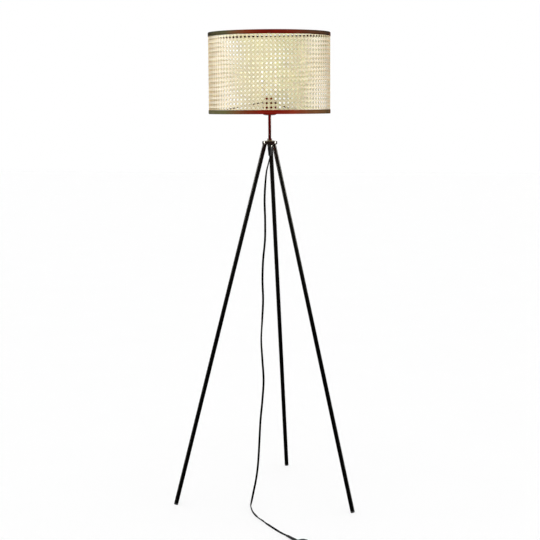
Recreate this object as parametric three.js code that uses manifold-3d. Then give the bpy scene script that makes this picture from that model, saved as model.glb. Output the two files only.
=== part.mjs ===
// Tripod floor lamp with a woven cane drum shade. Sizes are in millimetres, +Z is up, and the back leg
// points to +Y. Everything is laid out round the lamp's upright axis; the last step moves the lamp so that
// the middle of its footprint is the origin.
import * as THREE from "three";
import { mergeVertices } from "three/addons/utils/BufferGeometryUtils.js";
import Module from "manifold-3d";

const wasm = await Module();
wasm.setup();

// General
const overallHeight = 1547;
const clearance = 0.3; // between pieces that touch
const overrun = 2; // how far a cutting shape runs past what it cuts
const drumSides = 60;
const turnedSides = 24;
const smallSides = 16;
const hubSides = 36;

// Shade
const shadeDiameter = 400; // over the binding tapes
const shadeHeight = 262;
const caneThickness = 1.8;
const caneColumns = 20; // openings round the drum
const caneRows = 4;
const caneOpeningShare = 0.48; // how much of its bay an opening takes, both ways
const trimHeight = 13;
const trimInnerHeight = 10;
const trimThickness = 0.9;
const trimCrown = 0.5; // how far the tape's outer face bulges
const ringWireDiameter = 4;
const ringWireSides = 6;
const armCount = 3;
const armTurn = THREE.MathUtils.degToRad(69.4); // where the first spider arm points, from +X
const armSlotClearance = 0.4;
const fitterWidth = 5.8;
const fitterThickness = 2.3;

// Lampholder
const cupDiameter = 46;
const cupDrop = 5.6; // how far the cup shows below the shade
const cupDomeHeight = 5;
const cupFloorRadius = 9;
const cupWall = 1;
const cupHeight = 41;
const holderThreadDiameter = 38.8;
const holderThreadPitch = 2.6;
const holderThreadDepth = 0.7;
const holderThreadTurns = 5;
const holderCapHeight = 12.2;
const holderWall = 1.8;
const holderCapFloor = 3;
const holderHeight = 55; // cap and shell together
const holderCollarDiameter = 32;
const holderCollarHeight = 8.7;
const holderBoreDiameter = 29.2;
const holderLedge = 2.6; // how far the ledge under the core reaches in
const holderLedgeHeight = 2;
const insertHeight = 12.4;
const insertBossDiameter = 12;
const insertBossHeight = 1.2;
const contactLength = 15;
const contactWidth = 5;
const contactThickness = 0.5;
const contactRise = 1.8;
const screwShellWall = 0.6;
const screwShellHeight = 24;
const clampRingHeight = 7;
const clampRingWidth = 3.3;
const clampRibDepth = 0.7;
const lockNutAcross = 14;
const lockNutHeight = 4;

// Bulb
const bulbCapDiameter = 26.2;
const bulbCapHeight = 20;
const bulbTipDiameter = 9;
const bulbTipHeight = 2.2;
const bulbInsulatorHeight = 2.8;
const bulbNeckDiameter = 30;
const bulbDiameter = 68;
const bulbHousingHeight = 42;
const bulbGlobeHeight = 66;
const bulbGlobeWall = 1.2;
const ledBoardDiameter = 46;
const ledBoardThickness = 1.6;

// Stem and hub
const stemDiameter = 10;
const stemWall = 1;
const stemInCup = 10; // how far the stem stands above the cup's floor
const stemShown = 75.2; // between the collar and the cup
const stemBelowHub = 9;
const collarDiameter = 15.6;
const collarHeight = 5.6;
const collarEdge = 1.4;
const hubDiameter = 50;
const hubRimHeight = 10.5;
const hubConeHeight = 2.8;
const hubEdge = 1.2;
const socketDepth = 7.6;
const washerDiameter = 18;
const washerThickness = 1.4;
const hubNutAcross = 15;
const hubNutHeight = 5;
const gripDiameter = 14;
const gripHeadHeight = 7;
const gripLength = 30;
const gripMouthDiameter = 9.4;
const gripRibCount = 4;
const gripRibDepth = 0.6;

// Tripod
const legCount = 3;
const footRadius = 340; // from the lamp's axis to a leg's axis, on the floor
const legDiameter = 14;
const legWall = 1.2;
const hubRimInset = 0.3; // the leg's outer side under the hub's rim
const studDiameter = 8;
const studInLeg = 26;
const insertTop = 4;
const insertLength = 24;
const footHeadHeight = 6;
const footStemLength = 14;
const footEdge = 1.3;
const footWear = 0.9; // how deep the floor flattens the foot's lower corner

// Cord
const cordWidth = 7;
const cordThickness = 3.4;
const cordSides = 8;
const cordStep = 21;
const coreDiameter = 2.2;
const coreSpread = 6;
const leadRouteTop = 1147.7; // the height of the grip's mouth that the route was chosen for
// The lead's route from the grip to the switch, chosen by hand, as x and y from the lamp's axis and the
// height. A height of 0 lies on the floor.
const leadRoute = [
  [0, 0, 1142],
  [-1.4, -0.2, 1137],
  [-4.6, -1.4, 1122],
  [-9.9, -3.7, 1100],
  [-14.2, -5.4, 1061],
  [-17.0, -7.9, 1002],
  [-15.4, -9.6, 936],
  [-16.0, -11.5, 869],
  [-22.0, -15.0, 803],
  [-24.2, -17.2, 736],
  [-22.2, -19.6, 669],
  [-25.2, -22.4, 602],
  [-28.2, -26.2, 535],
  [-24.4, -28.3, 467],
  [-20.4, -30.4, 400],
  [-24.2, -34.3, 332],
  [-30.2, -39.5, 264],
  [-33.5, -44.1, 196],
  [-35.8, -48.4, 146],
  [-38.8, -53.0, 102],
  [-43.5, -61.5, 62],
  [-47.8, -76.0, 33],
  [-49.4, -98.0, 13.5],
  [-48.3, -126.0, 4.2],
  [-44.7, -155.3, 0],
  [-34.1, -195.8, 0],
  [-27.5, -215.5, 0],
  [-19.4, -234.9, 0],
  [-7.6, -257.4, 0],
  [6.3, -279.4, 0],
  [21.6, -301.5, 0],
  [43.2, -331.9, 0],
  [66.0, -363.0, 0],
  [86.0, -390.0, 2.2],
  [104.6, -414.6, 3.4],
];

// Foot switch on the cord
const switchPlace = [118.5, -431.2]; // the nose's tip, from the lamp's axis
const switchHeading = THREE.MathUtils.degToRad(-50);
const switchAxisHeight = 4.6;
const switchNoseLength = 58;
const switchTailLength = 40;
const reliefTipWidth = 10;
const reliefRootWidth = 14.4;
const reliefTipHeight = 5.8;
const reliefRibCount = 5;
const reliefRibDepth = 0.7;
const switchLength = 84;
const switchWidth = 34;
const switchEndWidth = 15;
const switchHeight = 16;
const switchEndHeight = 9.2;
const switchCrown = 15; // from the middle to where the top starts to fall
const switchParting = 7.6;
const switchWall = 1.8;
const switchRound = 3;
const buttonDiameter = 20;
const buttonTravel = 3;
const buttonPressedProud = 1; // how far it stands out when pressed
const buttonGap = 0.5;
const buttonFlange = 1.6;
const buttonFlangeHeight = 1.6;
const buttonEdge = 1.6;
const buttonSkirt = 2.2; // below the flange
const chamberRoom = 0.8; // round the flange
const springDiameter = 8;
const springWire = 0.6;
const springTurns = 2.5;
const blockLength = 18;
const blockWidth = 14;
const blockHeight = 2;
const screwPlace = 27; // from the switch's middle to each screw
const screwShankDiameter = 2.4;
const screwHeadDiameter = 5;
const screwHeadHeight = 1.2;
const screwBite = 3.4; // how far a screw reaches into the cover

// Coil, tie and plug
const tailStraight = 12;
const tailBend = 30;
const tailTurn = THREE.MathUtils.degToRad(120);
const tailToCoil = 42;
const coilRadius = 41.5; // to the middle of the outermost turn
const coilPitch = 5.3;
const coilLayerRise = 8.6;
const coilTurnsALayer = 1.75;
const coilStepsATurn = 24;
const coilLeadOut = 50;
const tieWidth = 8;
const tieThickness = 0.6;
const tieRoom = 0.7; // between the strap and the turns
const plugThickness = 13.7;
const plugWidth = 35.3;
const plugNeckWidth = 13;
const plugLength = 36;
const plugReliefLength = 26;
const plugRound = 2.2;
const pinDiameter = 4;
const pinLength = 19;
const pinSpacing = 18.6;
const pinSeat = 4; // how deep a pin's root sits in the body

// Derived places
const shadeTop = overallHeight;
const shadeBottom = overallHeight - shadeHeight;
const caneOuter = shadeDiameter / 2 - trimThickness - clearance;
const caneInner = caneOuter - caneThickness;
const ringRadius = caneInner - clearance - ringWireDiameter / 2;
const trimInner = ringRadius - ringWireDiameter / 2 - clearance - trimThickness;
const ringLift = trimThickness + clearance + ringWireDiameter / 2; // from a rim to its wire's middle
const cupBottom = shadeBottom - cupDrop;
const cupTop = cupBottom + cupHeight;
const stemRadius = stemDiameter / 2;
const stemHole = stemRadius + clearance;
const lockNutBottom = cupBottom + cupWall + clearance;
const holderBottom = lockNutBottom + lockNutHeight + clearance;
const holderTop = holderBottom + holderHeight;
const shellBottom = holderBottom + holderCapHeight + clearance;
const insertBottom = shellBottom + holderLedgeHeight + clearance;
const insertRadius = holderBoreDiameter / 2 - clearance;
const contactBottom = insertBottom + insertHeight + insertBossHeight + clearance;
const bulbBottom = contactBottom + contactRise + contactThickness + clearance;
const bulbCapBottom = bulbBottom + bulbTipHeight + bulbInsulatorHeight + 2 * clearance;
const housingBottom = bulbCapBottom + bulbCapHeight + clearance;
const housingTop = housingBottom + bulbHousingHeight;
const fitterBottom = cupTop + clearance;
const fitterInner = holderThreadDiameter / 2 + clearance * 2;
const fitterOuter = fitterInner + fitterWidth;
const hubTop = cupBottom - stemShown - collarHeight - clearance;
const hubRimTop = hubTop - hubConeHeight;
const hubUnderside = hubRimTop - hubRimHeight;
const stemBottom = hubUnderside - stemBelowHub;
const gripTop = hubUnderside - 3 * clearance - washerThickness - hubNutHeight;
const gripMouth = gripTop - gripLength;
const legTopRadius = hubDiameter / 2 - legDiameter / 2 - hubRimInset;
const legLean = Math.atan2(footRadius - legTopRadius, hubUnderside);
const legAxisLength = hubUnderside / Math.cos(legLean);
const switchMiddle = switchNoseLength + clearance + switchLength / 2;

// Materials
function material(color, roughness, metalness) {
  return new THREE.MeshStandardMaterial({ color, roughness, metalness });
}

const cane = material(0xdcbc86, 0.6, 0);
const tape = material(0x5a1c14, 0.5, 0);
const wire = material(0x2b2624, 0.4, 0.6);
const blackMetal = material(0x16120f, 0.25, 0.5);
const blackPlastic = material(0x1a1a1a, 0.45, 0);
const ceramic = material(0xf0ede6, 0.5, 0);
const brass = material(0xc9a24d, 0.3, 1);
const nickel = material(0xb9b9b4, 0.25, 1);
const steel = material(0x9a9a98, 0.35, 1);
const milk = material(0xfff6dc, 0.4, 0);
const whitePlastic = material(0xf2f0ea, 0.5, 0);
const board = material(0xe8e8e4, 0.6, 0);
const cordSkin = material(0x141414, 0.5, 0);
const coreBrown = material(0x6b4226, 0.6, 0);
const coreBlue = material(0x2d4f8e, 0.6, 0);
const rubber = material(0x101010, 0.8, 0);

// Solids
function toSolid(geometry) {
  const bare = geometry.index ? geometry.toNonIndexed() : geometry.clone();
  bare.deleteAttribute("normal");
  bare.deleteAttribute("uv");
  const merged = mergeVertices(bare, 1e-4);
  const vertProperties = new Float32Array(merged.attributes.position.array);
  const triVerts = new Uint32Array(merged.index.array);
  return new wasm.Manifold(new wasm.Mesh({ numProp: 3, vertProperties, triVerts }));
}

function toGeometry(solid) {
  const { vertProperties, triVerts } = solid.getMesh();
  const geometry = new THREE.BufferGeometry();
  geometry.setAttribute("position", new THREE.BufferAttribute(vertProperties, 3));
  geometry.setIndex(new THREE.BufferAttribute(triVerts, 1));
  geometry.computeVertexNormals();
  return geometry;
}

function joined(...geometries) {
  const solids = geometries.map(toSolid);
  return toGeometry(solids.slice(1).reduce((sum, next) => sum.add(next), solids[0]));
}

function cut(geometry, ...cutters) {
  const solids = cutters.map(toSolid);
  return toGeometry(solids.reduce((rest, next) => rest.subtract(next), toSolid(geometry)));
}

function shared(geometry, other) {
  return toGeometry(toSolid(geometry).intersect(toSolid(other)));
}

// A profile of [radius, height] pairs turned round Z. One that stays off the axis is closed on itself.
function turned(profile, sides) {
  const points = profile.map(([radius, height]) => new THREE.Vector2(radius, height));
  const first = points[0];
  const last = points[points.length - 1];
  if (first.x > 0 || last.x > 0) points.push(first.clone());
  if (THREE.ShapeUtils.area(points) < 0) points.reverse();
  return new THREE.LatheGeometry(points, sides).rotateX(Math.PI / 2);
}

// The points of a round corner about (x, y), between two angles in degrees.
function corner(x, y, radius, from, to, steps = 3) {
  return Array.from({ length: steps + 1 }, (_, i) => {
    const angle = THREE.MathUtils.degToRad(from + ((to - from) * i) / steps);
    return [x + radius * Math.cos(angle), y + radius * Math.sin(angle)];
  });
}

function cylinder(radius, bottom, top, sides = smallSides) {
  return turned(
    [
      [0, bottom],
      [radius, bottom],
      [radius, top],
      [0, top],
    ],
    sides,
  );
}

function sleeve(inner, outer, bottom, top, sides = turnedSides) {
  return turned(
    [
      [inner, bottom],
      [outer, bottom],
      [outer, top],
      [inner, top],
    ],
    sides,
  );
}

function box(low, high) {
  const size = high.map((value, i) => value - low[i]);
  const middle = high.map((value, i) => (value + low[i]) / 2);
  return new THREE.BoxGeometry(...size).translate(...middle);
}

// A prism over an outline in the XY plane, from bottom to top.
function prism(shape, bottom, top, curveSegments = 6) {
  const settings = { depth: top - bottom, bevelEnabled: false, curveSegments };
  return new THREE.ExtrudeGeometry(shape, settings).translate(0, 0, bottom);
}

function hexNut(across, hole, bottom, height) {
  const radius = across / Math.sqrt(3);
  const shape = new THREE.Shape();
  for (let i = 0; i < 6; i += 1) {
    const angle = (i * Math.PI) / 3;
    const x = radius * Math.cos(angle);
    const y = radius * Math.sin(angle);
    if (i === 0) shape.moveTo(x, y);
    else shape.lineTo(x, y);
  }
  shape.closePath();
  shape.holes.push(new THREE.Path().absarc(0, 0, hole, 0, 2 * Math.PI, true));
  return prism(shape, bottom, bottom + height, 8);
}

// A flattened octagon whose sides touch the given width and thickness.
function flatSection(width, thickness) {
  const half = Math.PI / cordSides;
  const shape = new THREE.Shape();
  for (let i = 0; i < cordSides; i += 1) {
    const angle = half + i * 2 * half;
    const x = ((width / 2) * Math.cos(angle)) / Math.cos(half);
    const y = ((thickness / 2) * Math.sin(angle)) / Math.cos(half);
    if (i === 0) shape.moveTo(x, y);
    else shape.lineTo(x, y);
  }
  shape.closePath();
  return shape;
}

function tubeAlong(points, section, steps) {
  const path = new THREE.CatmullRomCurve3(points, false, "centripetal");
  return new THREE.ExtrudeGeometry(section, { steps, bevelEnabled: false, extrudePath: path });
}

const nodes = new Map();

function node(parent, name, geometry, finish) {
  const mesh = new THREE.Mesh(geometry, finish.clone());
  mesh.name = name;
  parent.add(mesh);
  nodes.set(name, mesh);
  return mesh;
}

// The shade's arms and the things that make room for them point the same way.
function atArm(geometry, index) {
  return geometry.clone().rotateZ(armTurn + (index * 2 * Math.PI) / armCount);
}

const armIndices = Array.from({ length: armCount }, (_, i) => i);

// Shade
function ringWire(height) {
  const profile = [];
  for (let i = 0; i < ringWireSides; i += 1) {
    const angle = ((i + 0.5) * 2 * Math.PI) / ringWireSides;
    const reach = ringWireDiameter / 2;
    profile.push([ringRadius + reach * Math.cos(angle), height + reach * Math.sin(angle)]);
  }
  return turned(profile, drumSides);
}

function spiderArm() {
  const reach = ringWireDiameter / 2;
  const inner = new THREE.Vector3(fitterOuter - reach, 0, fitterBottom + fitterThickness / 2);
  const outer = new THREE.Vector3(ringRadius, 0, shadeBottom + ringLift);
  const run = outer.clone().sub(inner);
  const rod = new THREE.CylinderGeometry(reach, reach, run.length(), ringWireSides);
  const upright = new THREE.Vector3(0, 1, 0);
  const turn = new THREE.Quaternion().setFromUnitVectors(upright, run.clone().normalize());
  return rod.applyQuaternion(turn).translate(...inner.add(outer).multiplyScalar(0.5).toArray());
}

function spider() {
  const fitter = sleeve(fitterInner, fitterOuter, fitterBottom, fitterBottom + fitterThickness);
  const arms = armIndices.map((i) => atArm(spiderArm(), i));
  return joined(ringWire(shadeBottom + ringLift), fitter, ...arms);
}

// The binding tape's folded section at the bottom rim: outer face, fold and inner face.
function trimProfile() {
  const outer = shadeDiameter / 2;
  const edge = outer - trimCrown;
  const inside = caneOuter + clearance;
  const innerFace = trimInner + trimThickness;
  return [
    [inside, trimHeight],
    [inside, trimThickness],
    [innerFace, trimThickness],
    [innerFace, trimInnerHeight],
    [trimInner, trimInnerHeight],
    [trimInner, 0],
    [edge, 0],
    [outer, trimHeight / 3],
    [outer, (trimHeight * 2) / 3],
    [edge, trimHeight],
  ];
}

function trimBottom() {
  const profile = trimProfile().map(([radius, height]) => [radius, shadeBottom + height]);
  const halfSlot = ringWireDiameter / 2 + armSlotClearance;
  const low = [trimInner - overrun, -halfSlot, shadeBottom + trimThickness];
  const high = [ringRadius, halfSlot, shadeBottom + trimInnerHeight + overrun];
  const slots = armIndices.map((i) => atArm(box(low, high), i));
  return cut(turned(profile, drumSides), ...slots);
}

function trimTop() {
  const profile = trimProfile().map(([radius, height]) => [radius, shadeTop - height]);
  return turned(profile, drumSides);
}

// The webbing between the tapes is open: an even grid of openings lets the light out.
function caneDrum() {
  const rimRoom = trimThickness + clearance;
  const drum = sleeve(caneInner, caneOuter, shadeBottom + rimRoom, shadeTop - rimRoom, drumSides);
  const bayTurn = (2 * Math.PI) / caneColumns;
  const bayHeight = (shadeHeight - 2 * trimHeight) / caneRows;
  const halfWidth = (bayTurn * caneOuter * caneOpeningShare) / 2;
  const halfHeight = (bayHeight * caneOpeningShare) / 2;
  const openings = [];
  for (let row = 0; row < caneRows; row += 1) {
    const middle = shadeBottom + trimHeight + bayHeight * (row + 1 / 2);
    const low = [caneInner - overrun, -halfWidth, middle - halfHeight];
    const high = [caneOuter + overrun, halfWidth, middle + halfHeight];
    for (let column = 0; column < caneColumns; column += 1) {
      openings.push(box(low, high).rotateZ(column * bayTurn));
    }
  }
  return cut(drum, ...openings);
}

function addShade(lamp) {
  node(lamp, "shade_cane", caneDrum(), cane);
  node(lamp, "shade_trim_top", trimTop(), tape);
  node(lamp, "shade_trim_bottom", trimBottom(), tape);
  node(lamp, "shade_ring_top", ringWire(shadeTop - ringLift), wire);
  node(lamp, "shade_spider", spider(), wire);
}

// Lampholder
function holderCup() {
  const outer = cupDiameter / 2;
  const inner = outer - cupWall;
  const shoulder = cupBottom + cupDomeHeight;
  const dome = (radius, depth) =>
    corner(0, 0, 1, -90, 0, 4).map(([across, up]) => [
      cupFloorRadius + (radius - cupFloorRadius) * across,
      shoulder + depth * up,
    ]);
  return turned(
    [
      [stemHole, cupBottom],
      ...dome(outer, cupDomeHeight),
      [outer, cupTop],
      [inner, cupTop],
      ...dome(inner, cupDomeHeight - cupWall).reverse(),
      [stemHole, cupBottom + cupWall],
    ],
    turnedSides,
  );
}

function holderCap() {
  const outer = holderThreadDiameter / 2;
  const inner = outer - holderWall;
  return turned(
    [
      [stemHole, holderBottom],
      [outer, holderBottom],
      [outer, shellBottom - clearance],
      [inner, shellBottom - clearance],
      [inner, holderBottom + holderCapFloor],
      [stemHole, holderBottom + holderCapFloor],
    ],
    turnedSides,
  );
}

function holderShell() {
  const crest = holderThreadDiameter / 2;
  const root = crest - holderThreadDepth;
  const collar = holderCollarDiameter / 2;
  const bore = holderBoreDiameter / 2;
  const collarBottom = holderTop - holderCollarHeight;
  const threadBottom = collarBottom - holderThreadTurns * holderThreadPitch;
  const thread = [];
  for (let i = 0; i < holderThreadTurns; i += 1) {
    const start = threadBottom + i * holderThreadPitch;
    thread.push([root, start], [crest, start + holderThreadPitch / 2]);
  }
  return turned(
    [
      [bore - holderLedge, shellBottom],
      [crest, shellBottom],
      [crest, threadBottom - holderThreadPitch / 2],
      ...thread,
      [root, collarBottom],
      [collar, collarBottom],
      [collar, holderTop],
      [bore, holderTop],
      [bore, shellBottom + holderLedgeHeight],
      [bore - holderLedge, shellBottom + holderLedgeHeight],
    ],
    turnedSides,
  );
}

function holderInsert() {
  const top = insertBottom + insertHeight;
  const boss = insertBossDiameter / 2;
  return turned(
    [
      [0, insertBottom],
      [insertRadius, insertBottom],
      [insertRadius, top],
      [boss, top],
      [boss, top + insertBossHeight],
      [0, top + insertBossHeight],
    ],
    turnedSides,
  );
}

// A bent strip that springs up under the bulb's tip.
function holderContact() {
  const half = contactLength / 2;
  const middle = half / 3;
  const low = contactBottom;
  const high = contactBottom + contactRise;
  const shape = new THREE.Shape();
  shape.moveTo(-half, low);
  shape.lineTo(-half / 2, low);
  shape.quadraticCurveTo(-middle, high, 0, high);
  shape.quadraticCurveTo(middle, high, half / 2, low);
  shape.lineTo(half, low);
  shape.lineTo(half, low + contactThickness);
  const foot = half / 2 + contactThickness;
  shape.lineTo(foot, low + contactThickness);
  shape.quadraticCurveTo(middle, high + contactThickness, 0, high + contactThickness);
  shape.quadraticCurveTo(-middle, high + contactThickness, -foot, low + contactThickness);
  shape.lineTo(-half, low + contactThickness);
  shape.closePath();
  return prism(shape, -contactWidth / 2, contactWidth / 2, 4).rotateX(Math.PI / 2);
}

function clampRing() {
  const inner = holderThreadDiameter / 2 + clearance;
  const outer = inner + clampRingWidth;
  const bottom = fitterBottom + fitterThickness + clearance;
  const top = bottom + clampRingHeight;
  const rib = clampRingHeight / 7;
  const ribs = [];
  for (let i = 0; i < 3; i += 1) {
    const start = bottom + rib * (2 * i + 1);
    ribs.push([outer, start], [outer - clampRibDepth, start + rib / 2], [outer, start + rib]);
  }
  return turned([[inner, bottom], [outer, bottom], ...ribs, [outer, top], [inner, top]], turnedSides);
}

function addLampholder(lamp) {
  const sleeveOuter = holderBoreDiameter / 2 - clearance;
  const sleeveBottom = insertBottom + insertHeight + clearance;
  const sleeveTop = sleeveBottom + screwShellHeight;
  const shell = sleeve(sleeveOuter - screwShellWall, sleeveOuter, sleeveBottom, sleeveTop);
  node(lamp, "holder_cup", holderCup(), blackMetal);
  node(lamp, "holder_lock_nut", hexNut(lockNutAcross, stemHole, lockNutBottom, lockNutHeight), nickel);
  node(lamp, "holder_cap", holderCap(), blackPlastic);
  node(lamp, "holder_shell", holderShell(), blackPlastic);
  node(lamp, "shade_clamp_ring", clampRing(), blackPlastic);
  node(lamp, "holder_insert", holderInsert(), ceramic);
  node(lamp, "holder_contact", holderContact(), brass);
  node(lamp, "holder_screw_shell", shell, nickel);
}

// Bulb
function bulbHousing() {
  const neck = bulbNeckDiameter / 2;
  const wide = bulbDiameter / 2;
  const flare = corner(0, 0, 1, -90, -18, 6).map(([across, up]) => [
    neck + (wide - neck) * across,
    housingBottom + bulbHousingHeight * (1 + up),
  ]);
  return turned([[0, housingBottom], ...flare, [wide, housingTop], [0, housingTop]], turnedSides);
}

function bulbGlobe() {
  const outer = bulbDiameter / 2;
  const inner = outer - bulbGlobeWall;
  const bottom = housingTop + clearance;
  const shoulder = bottom + bulbGlobeHeight / 3;
  const profile = (radius, height) =>
    corner(0, 0, 1, 0, 90, 6).map(([across, up]) => [radius * across, shoulder + height * up]);
  const outside = profile(outer, (bulbGlobeHeight * 2) / 3);
  const inside = profile(inner, (bulbGlobeHeight * 2) / 3 - bulbGlobeWall);
  outside[outside.length - 1][0] = 0;
  inside[inside.length - 1][0] = 0;
  return turned([...outside.reverse(), [outer, bottom], [inner, bottom], ...inside], turnedSides);
}

function addBulb(lamp) {
  const cap = bulbCapDiameter / 2;
  const tip = bulbTipDiameter / 2;
  const tipTop = bulbBottom + bulbTipHeight;
  const insulatorBottom = tipTop + clearance;
  const insulatorTop = insulatorBottom + bulbInsulatorHeight;
  const tipShape = [[0, bulbBottom], ...corner(tip / 2, bulbBottom + tip / 2, tip / 2, -90, -30, 2)];
  const tipGeometry = turned([...tipShape, [tip, tipTop], [0, tipTop]], smallSides);
  const insulator = turned(
    [
      [0, insulatorBottom],
      [tip, insulatorBottom],
      [cap - bulbInsulatorHeight, insulatorTop],
      [0, insulatorTop],
    ],
    smallSides,
  );
  const threadStep = bulbCapHeight / 6;
  const thread = [];
  for (let i = 0; i < 4; i += 1) {
    const start = bulbCapBottom + threadStep * (i + 0.5);
    thread.push([cap, start + threadStep / 2], [cap - screwShellWall, start + threadStep]);
  }
  const capProfile = [
    [0, bulbCapBottom],
    [cap - bulbInsulatorHeight, bulbCapBottom],
    [cap - screwShellWall, bulbCapBottom + threadStep / 2],
    ...thread,
    [cap, bulbCapBottom + threadStep * 5],
    [cap, bulbCapBottom + bulbCapHeight],
    [0, bulbCapBottom + bulbCapHeight],
  ];
  const boardBottom = housingTop + clearance;
  const boardTop = boardBottom + ledBoardThickness;
  node(lamp, "bulb_tip", tipGeometry, nickel);
  node(lamp, "bulb_insulator", insulator, blackPlastic);
  node(lamp, "bulb_screw_cap", turned(capProfile, turnedSides), nickel);
  node(lamp, "bulb_housing", bulbHousing(), whitePlastic);
  node(lamp, "bulb_led_board", cylinder(ledBoardDiameter / 2, boardBottom, boardTop), board);
  node(lamp, "bulb_globe", bulbGlobe(), milk);
}

// Stem and hub
// The leg's own frame: its axis is Z, and its origin is where that axis meets the floor.
function placeAtLeg(object, index) {
  object.position.set(0, footRadius, 0);
  object.rotation.set(legLean, 0, 0);
  const swing = new THREE.Group();
  swing.rotation.z = (index * 2 * Math.PI) / legCount;
  swing.add(object);
  return swing;
}

function legMatrix(index) {
  const frame = new THREE.Object3D();
  const swing = placeAtLeg(frame, index);
  swing.updateMatrixWorld(true);
  return frame.matrixWorld;
}

const legIndices = Array.from({ length: legCount }, (_, i) => i);

function hubPlate() {
  const rim = hubDiameter / 2;
  const crown = collarDiameter / 2 + hubEdge;
  const profile = [
    [stemHole, hubUnderside],
    ...corner(rim - hubEdge, hubUnderside + hubEdge, hubEdge, -90, 0),
    ...corner(rim - hubEdge, hubRimTop - hubEdge, hubEdge, 0, 80),
    [crown, hubTop],
    [stemHole, hubTop],
  ];
  const socketStart = legAxisLength - studInLeg;
  const socket = cylinder(studDiameter / 2 + clearance, socketStart, legAxisLength + socketDepth);
  const sockets = legIndices.map((i) => socket.clone().applyMatrix4(legMatrix(i)));
  return cut(turned(profile, hubSides), ...sockets);
}

function stemCollar() {
  const outer = collarDiameter / 2;
  const bottom = hubTop + clearance;
  const top = bottom + collarHeight;
  return turned(
    [
      [stemHole, bottom],
      [outer, bottom],
      ...corner(outer - collarEdge, top - collarEdge, collarEdge, 0, 90),
      [stemHole, top],
    ],
    turnedSides,
  );
}

function cordGrip() {
  const head = gripDiameter / 2;
  const mouth = gripMouthDiameter / 2;
  const bore = cordWidth / 2 + clearance;
  const neck = gripTop - gripHeadHeight;
  const taper = (share) => [head + (mouth - head) * share, neck + (gripMouth - neck) * share];
  const ribs = [];
  for (let i = 1; i <= gripRibCount; i += 1) {
    const [radius, height] = taper(i / (gripRibCount + 1));
    const half = (neck - gripMouth) / (gripRibCount + 1) / 5;
    ribs.push([radius, height + half], [radius - gripRibDepth, height], [radius, height - half]);
  }
  return turned(
    [
      [stemHole, gripTop],
      [head, gripTop],
      [head, neck],
      ...ribs,
      [mouth, gripMouth],
      [bore, gripMouth],
      [bore, stemBottom - clearance],
      [stemHole, stemBottom - clearance],
    ],
    smallSides,
  );
}

function straightCord(top, bottom) {
  return prism(flatSection(cordWidth, cordThickness), bottom, top);
}

function innerCore(side, top) {
  const start = new THREE.Vector3((side * cordWidth) / 4, 0, top + clearance);
  const end = new THREE.Vector3(side * coreSpread, 0, insertBottom - clearance);
  const rise = (end.z - start.z) / 3;
  const points = [start, start.clone().setZ(start.z + rise), end.clone().setZ(end.z - rise), end];
  const section = new THREE.Shape().absarc(0, 0, coreDiameter / 2, 0, 2 * Math.PI);
  const path = new THREE.CatmullRomCurve3(points);
  const settings = { steps: 8, bevelEnabled: false, extrudePath: path, curveSegments: 6 };
  return new THREE.ExtrudeGeometry(section, settings);
}

function addStemAndHub(lamp) {
  const stemTop = cupBottom + cupWall + stemInCup;
  const leadTop = stemTop - clearance;
  const washerTop = hubUnderside - clearance;
  const nutBottom = washerTop - washerThickness - clearance - hubNutHeight;
  const washer = sleeve(stemHole, washerDiameter / 2, washerTop - washerThickness, washerTop);
  node(lamp, "stem_tube", sleeve(stemRadius - stemWall, stemRadius, stemBottom, stemTop), blackMetal);
  node(lamp, "stem_collar", stemCollar(), blackMetal);
  node(lamp, "hub_plate", hubPlate(), blackMetal);
  node(lamp, "hub_washer", washer, nickel);
  node(lamp, "hub_nut", hexNut(hubNutAcross, stemHole, nutBottom, hubNutHeight), nickel);
  node(lamp, "cord_grip", cordGrip(), blackPlastic);
  node(lamp, "inner_lead", straightCord(leadTop, gripMouth), cordSkin);
  node(lamp, "core_live", innerCore(1, leadTop), coreBrown);
  node(lamp, "core_neutral", innerCore(-1, leadTop), coreBlue);
}

// Tripod
// A block that fills the room above or below a level plane, in the leg's own frame.
function levelBlock(low, high, index) {
  const reach = footRadius * 2;
  const block = box([-reach, -reach, low], [reach, reach, high]);
  return block.applyMatrix4(legMatrix(index).clone().invert());
}

function footCap(index) {
  const radius = legDiameter / 2;
  const touch = (radius - footEdge) * Math.tan(legLean) + footEdge / Math.cos(legLean) - footEdge;
  const start = touch - footWear;
  const stem = radius - legWall - clearance;
  const shoulder = start + footHeadHeight;
  const cap = turned(
    [
      [0, start],
      ...corner(radius - footEdge, start + footEdge, footEdge, -90, 0),
      [radius, shoulder],
      [stem, shoulder],
      [stem, shoulder + footStemLength],
      [0, shoulder + footStemLength],
    ],
    turnedSides,
  );
  return { cap: cut(cap, levelBlock(-footRadius, 0, index)), shoulder };
}

function addLeg(lamp, index) {
  const number = index + 1;
  const frame = new THREE.Group();
  lamp.add(placeAtLeg(frame, index));
  const radius = legDiameter / 2;
  const bore = radius - legWall;
  const { cap, shoulder } = footCap(index);
  const tube = sleeve(bore, radius, shoulder + clearance, legAxisLength + legDiameter);
  const aboveHubUnderside = levelBlock(hubUnderside - clearance, overallHeight, index);
  const insertEnd = legAxisLength - insertTop;
  const studTop = legAxisLength + socketDepth - clearance;
  const studBottom = legAxisLength - studInLeg;
  const insertStart = insertEnd - insertLength;
  const bushing = sleeve(studDiameter / 2 + clearance, bore - clearance, insertStart, insertEnd, smallSides);
  node(frame, `leg_tube_${number}`, cut(tube, aboveHubUnderside), blackMetal);
  node(frame, `leg_insert_${number}`, bushing, steel);
  node(frame, `leg_stud_${number}`, cylinder(studDiameter / 2, studBottom, studTop), steel);
  node(frame, `foot_cap_${number}`, cap, rubber);
}

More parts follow.
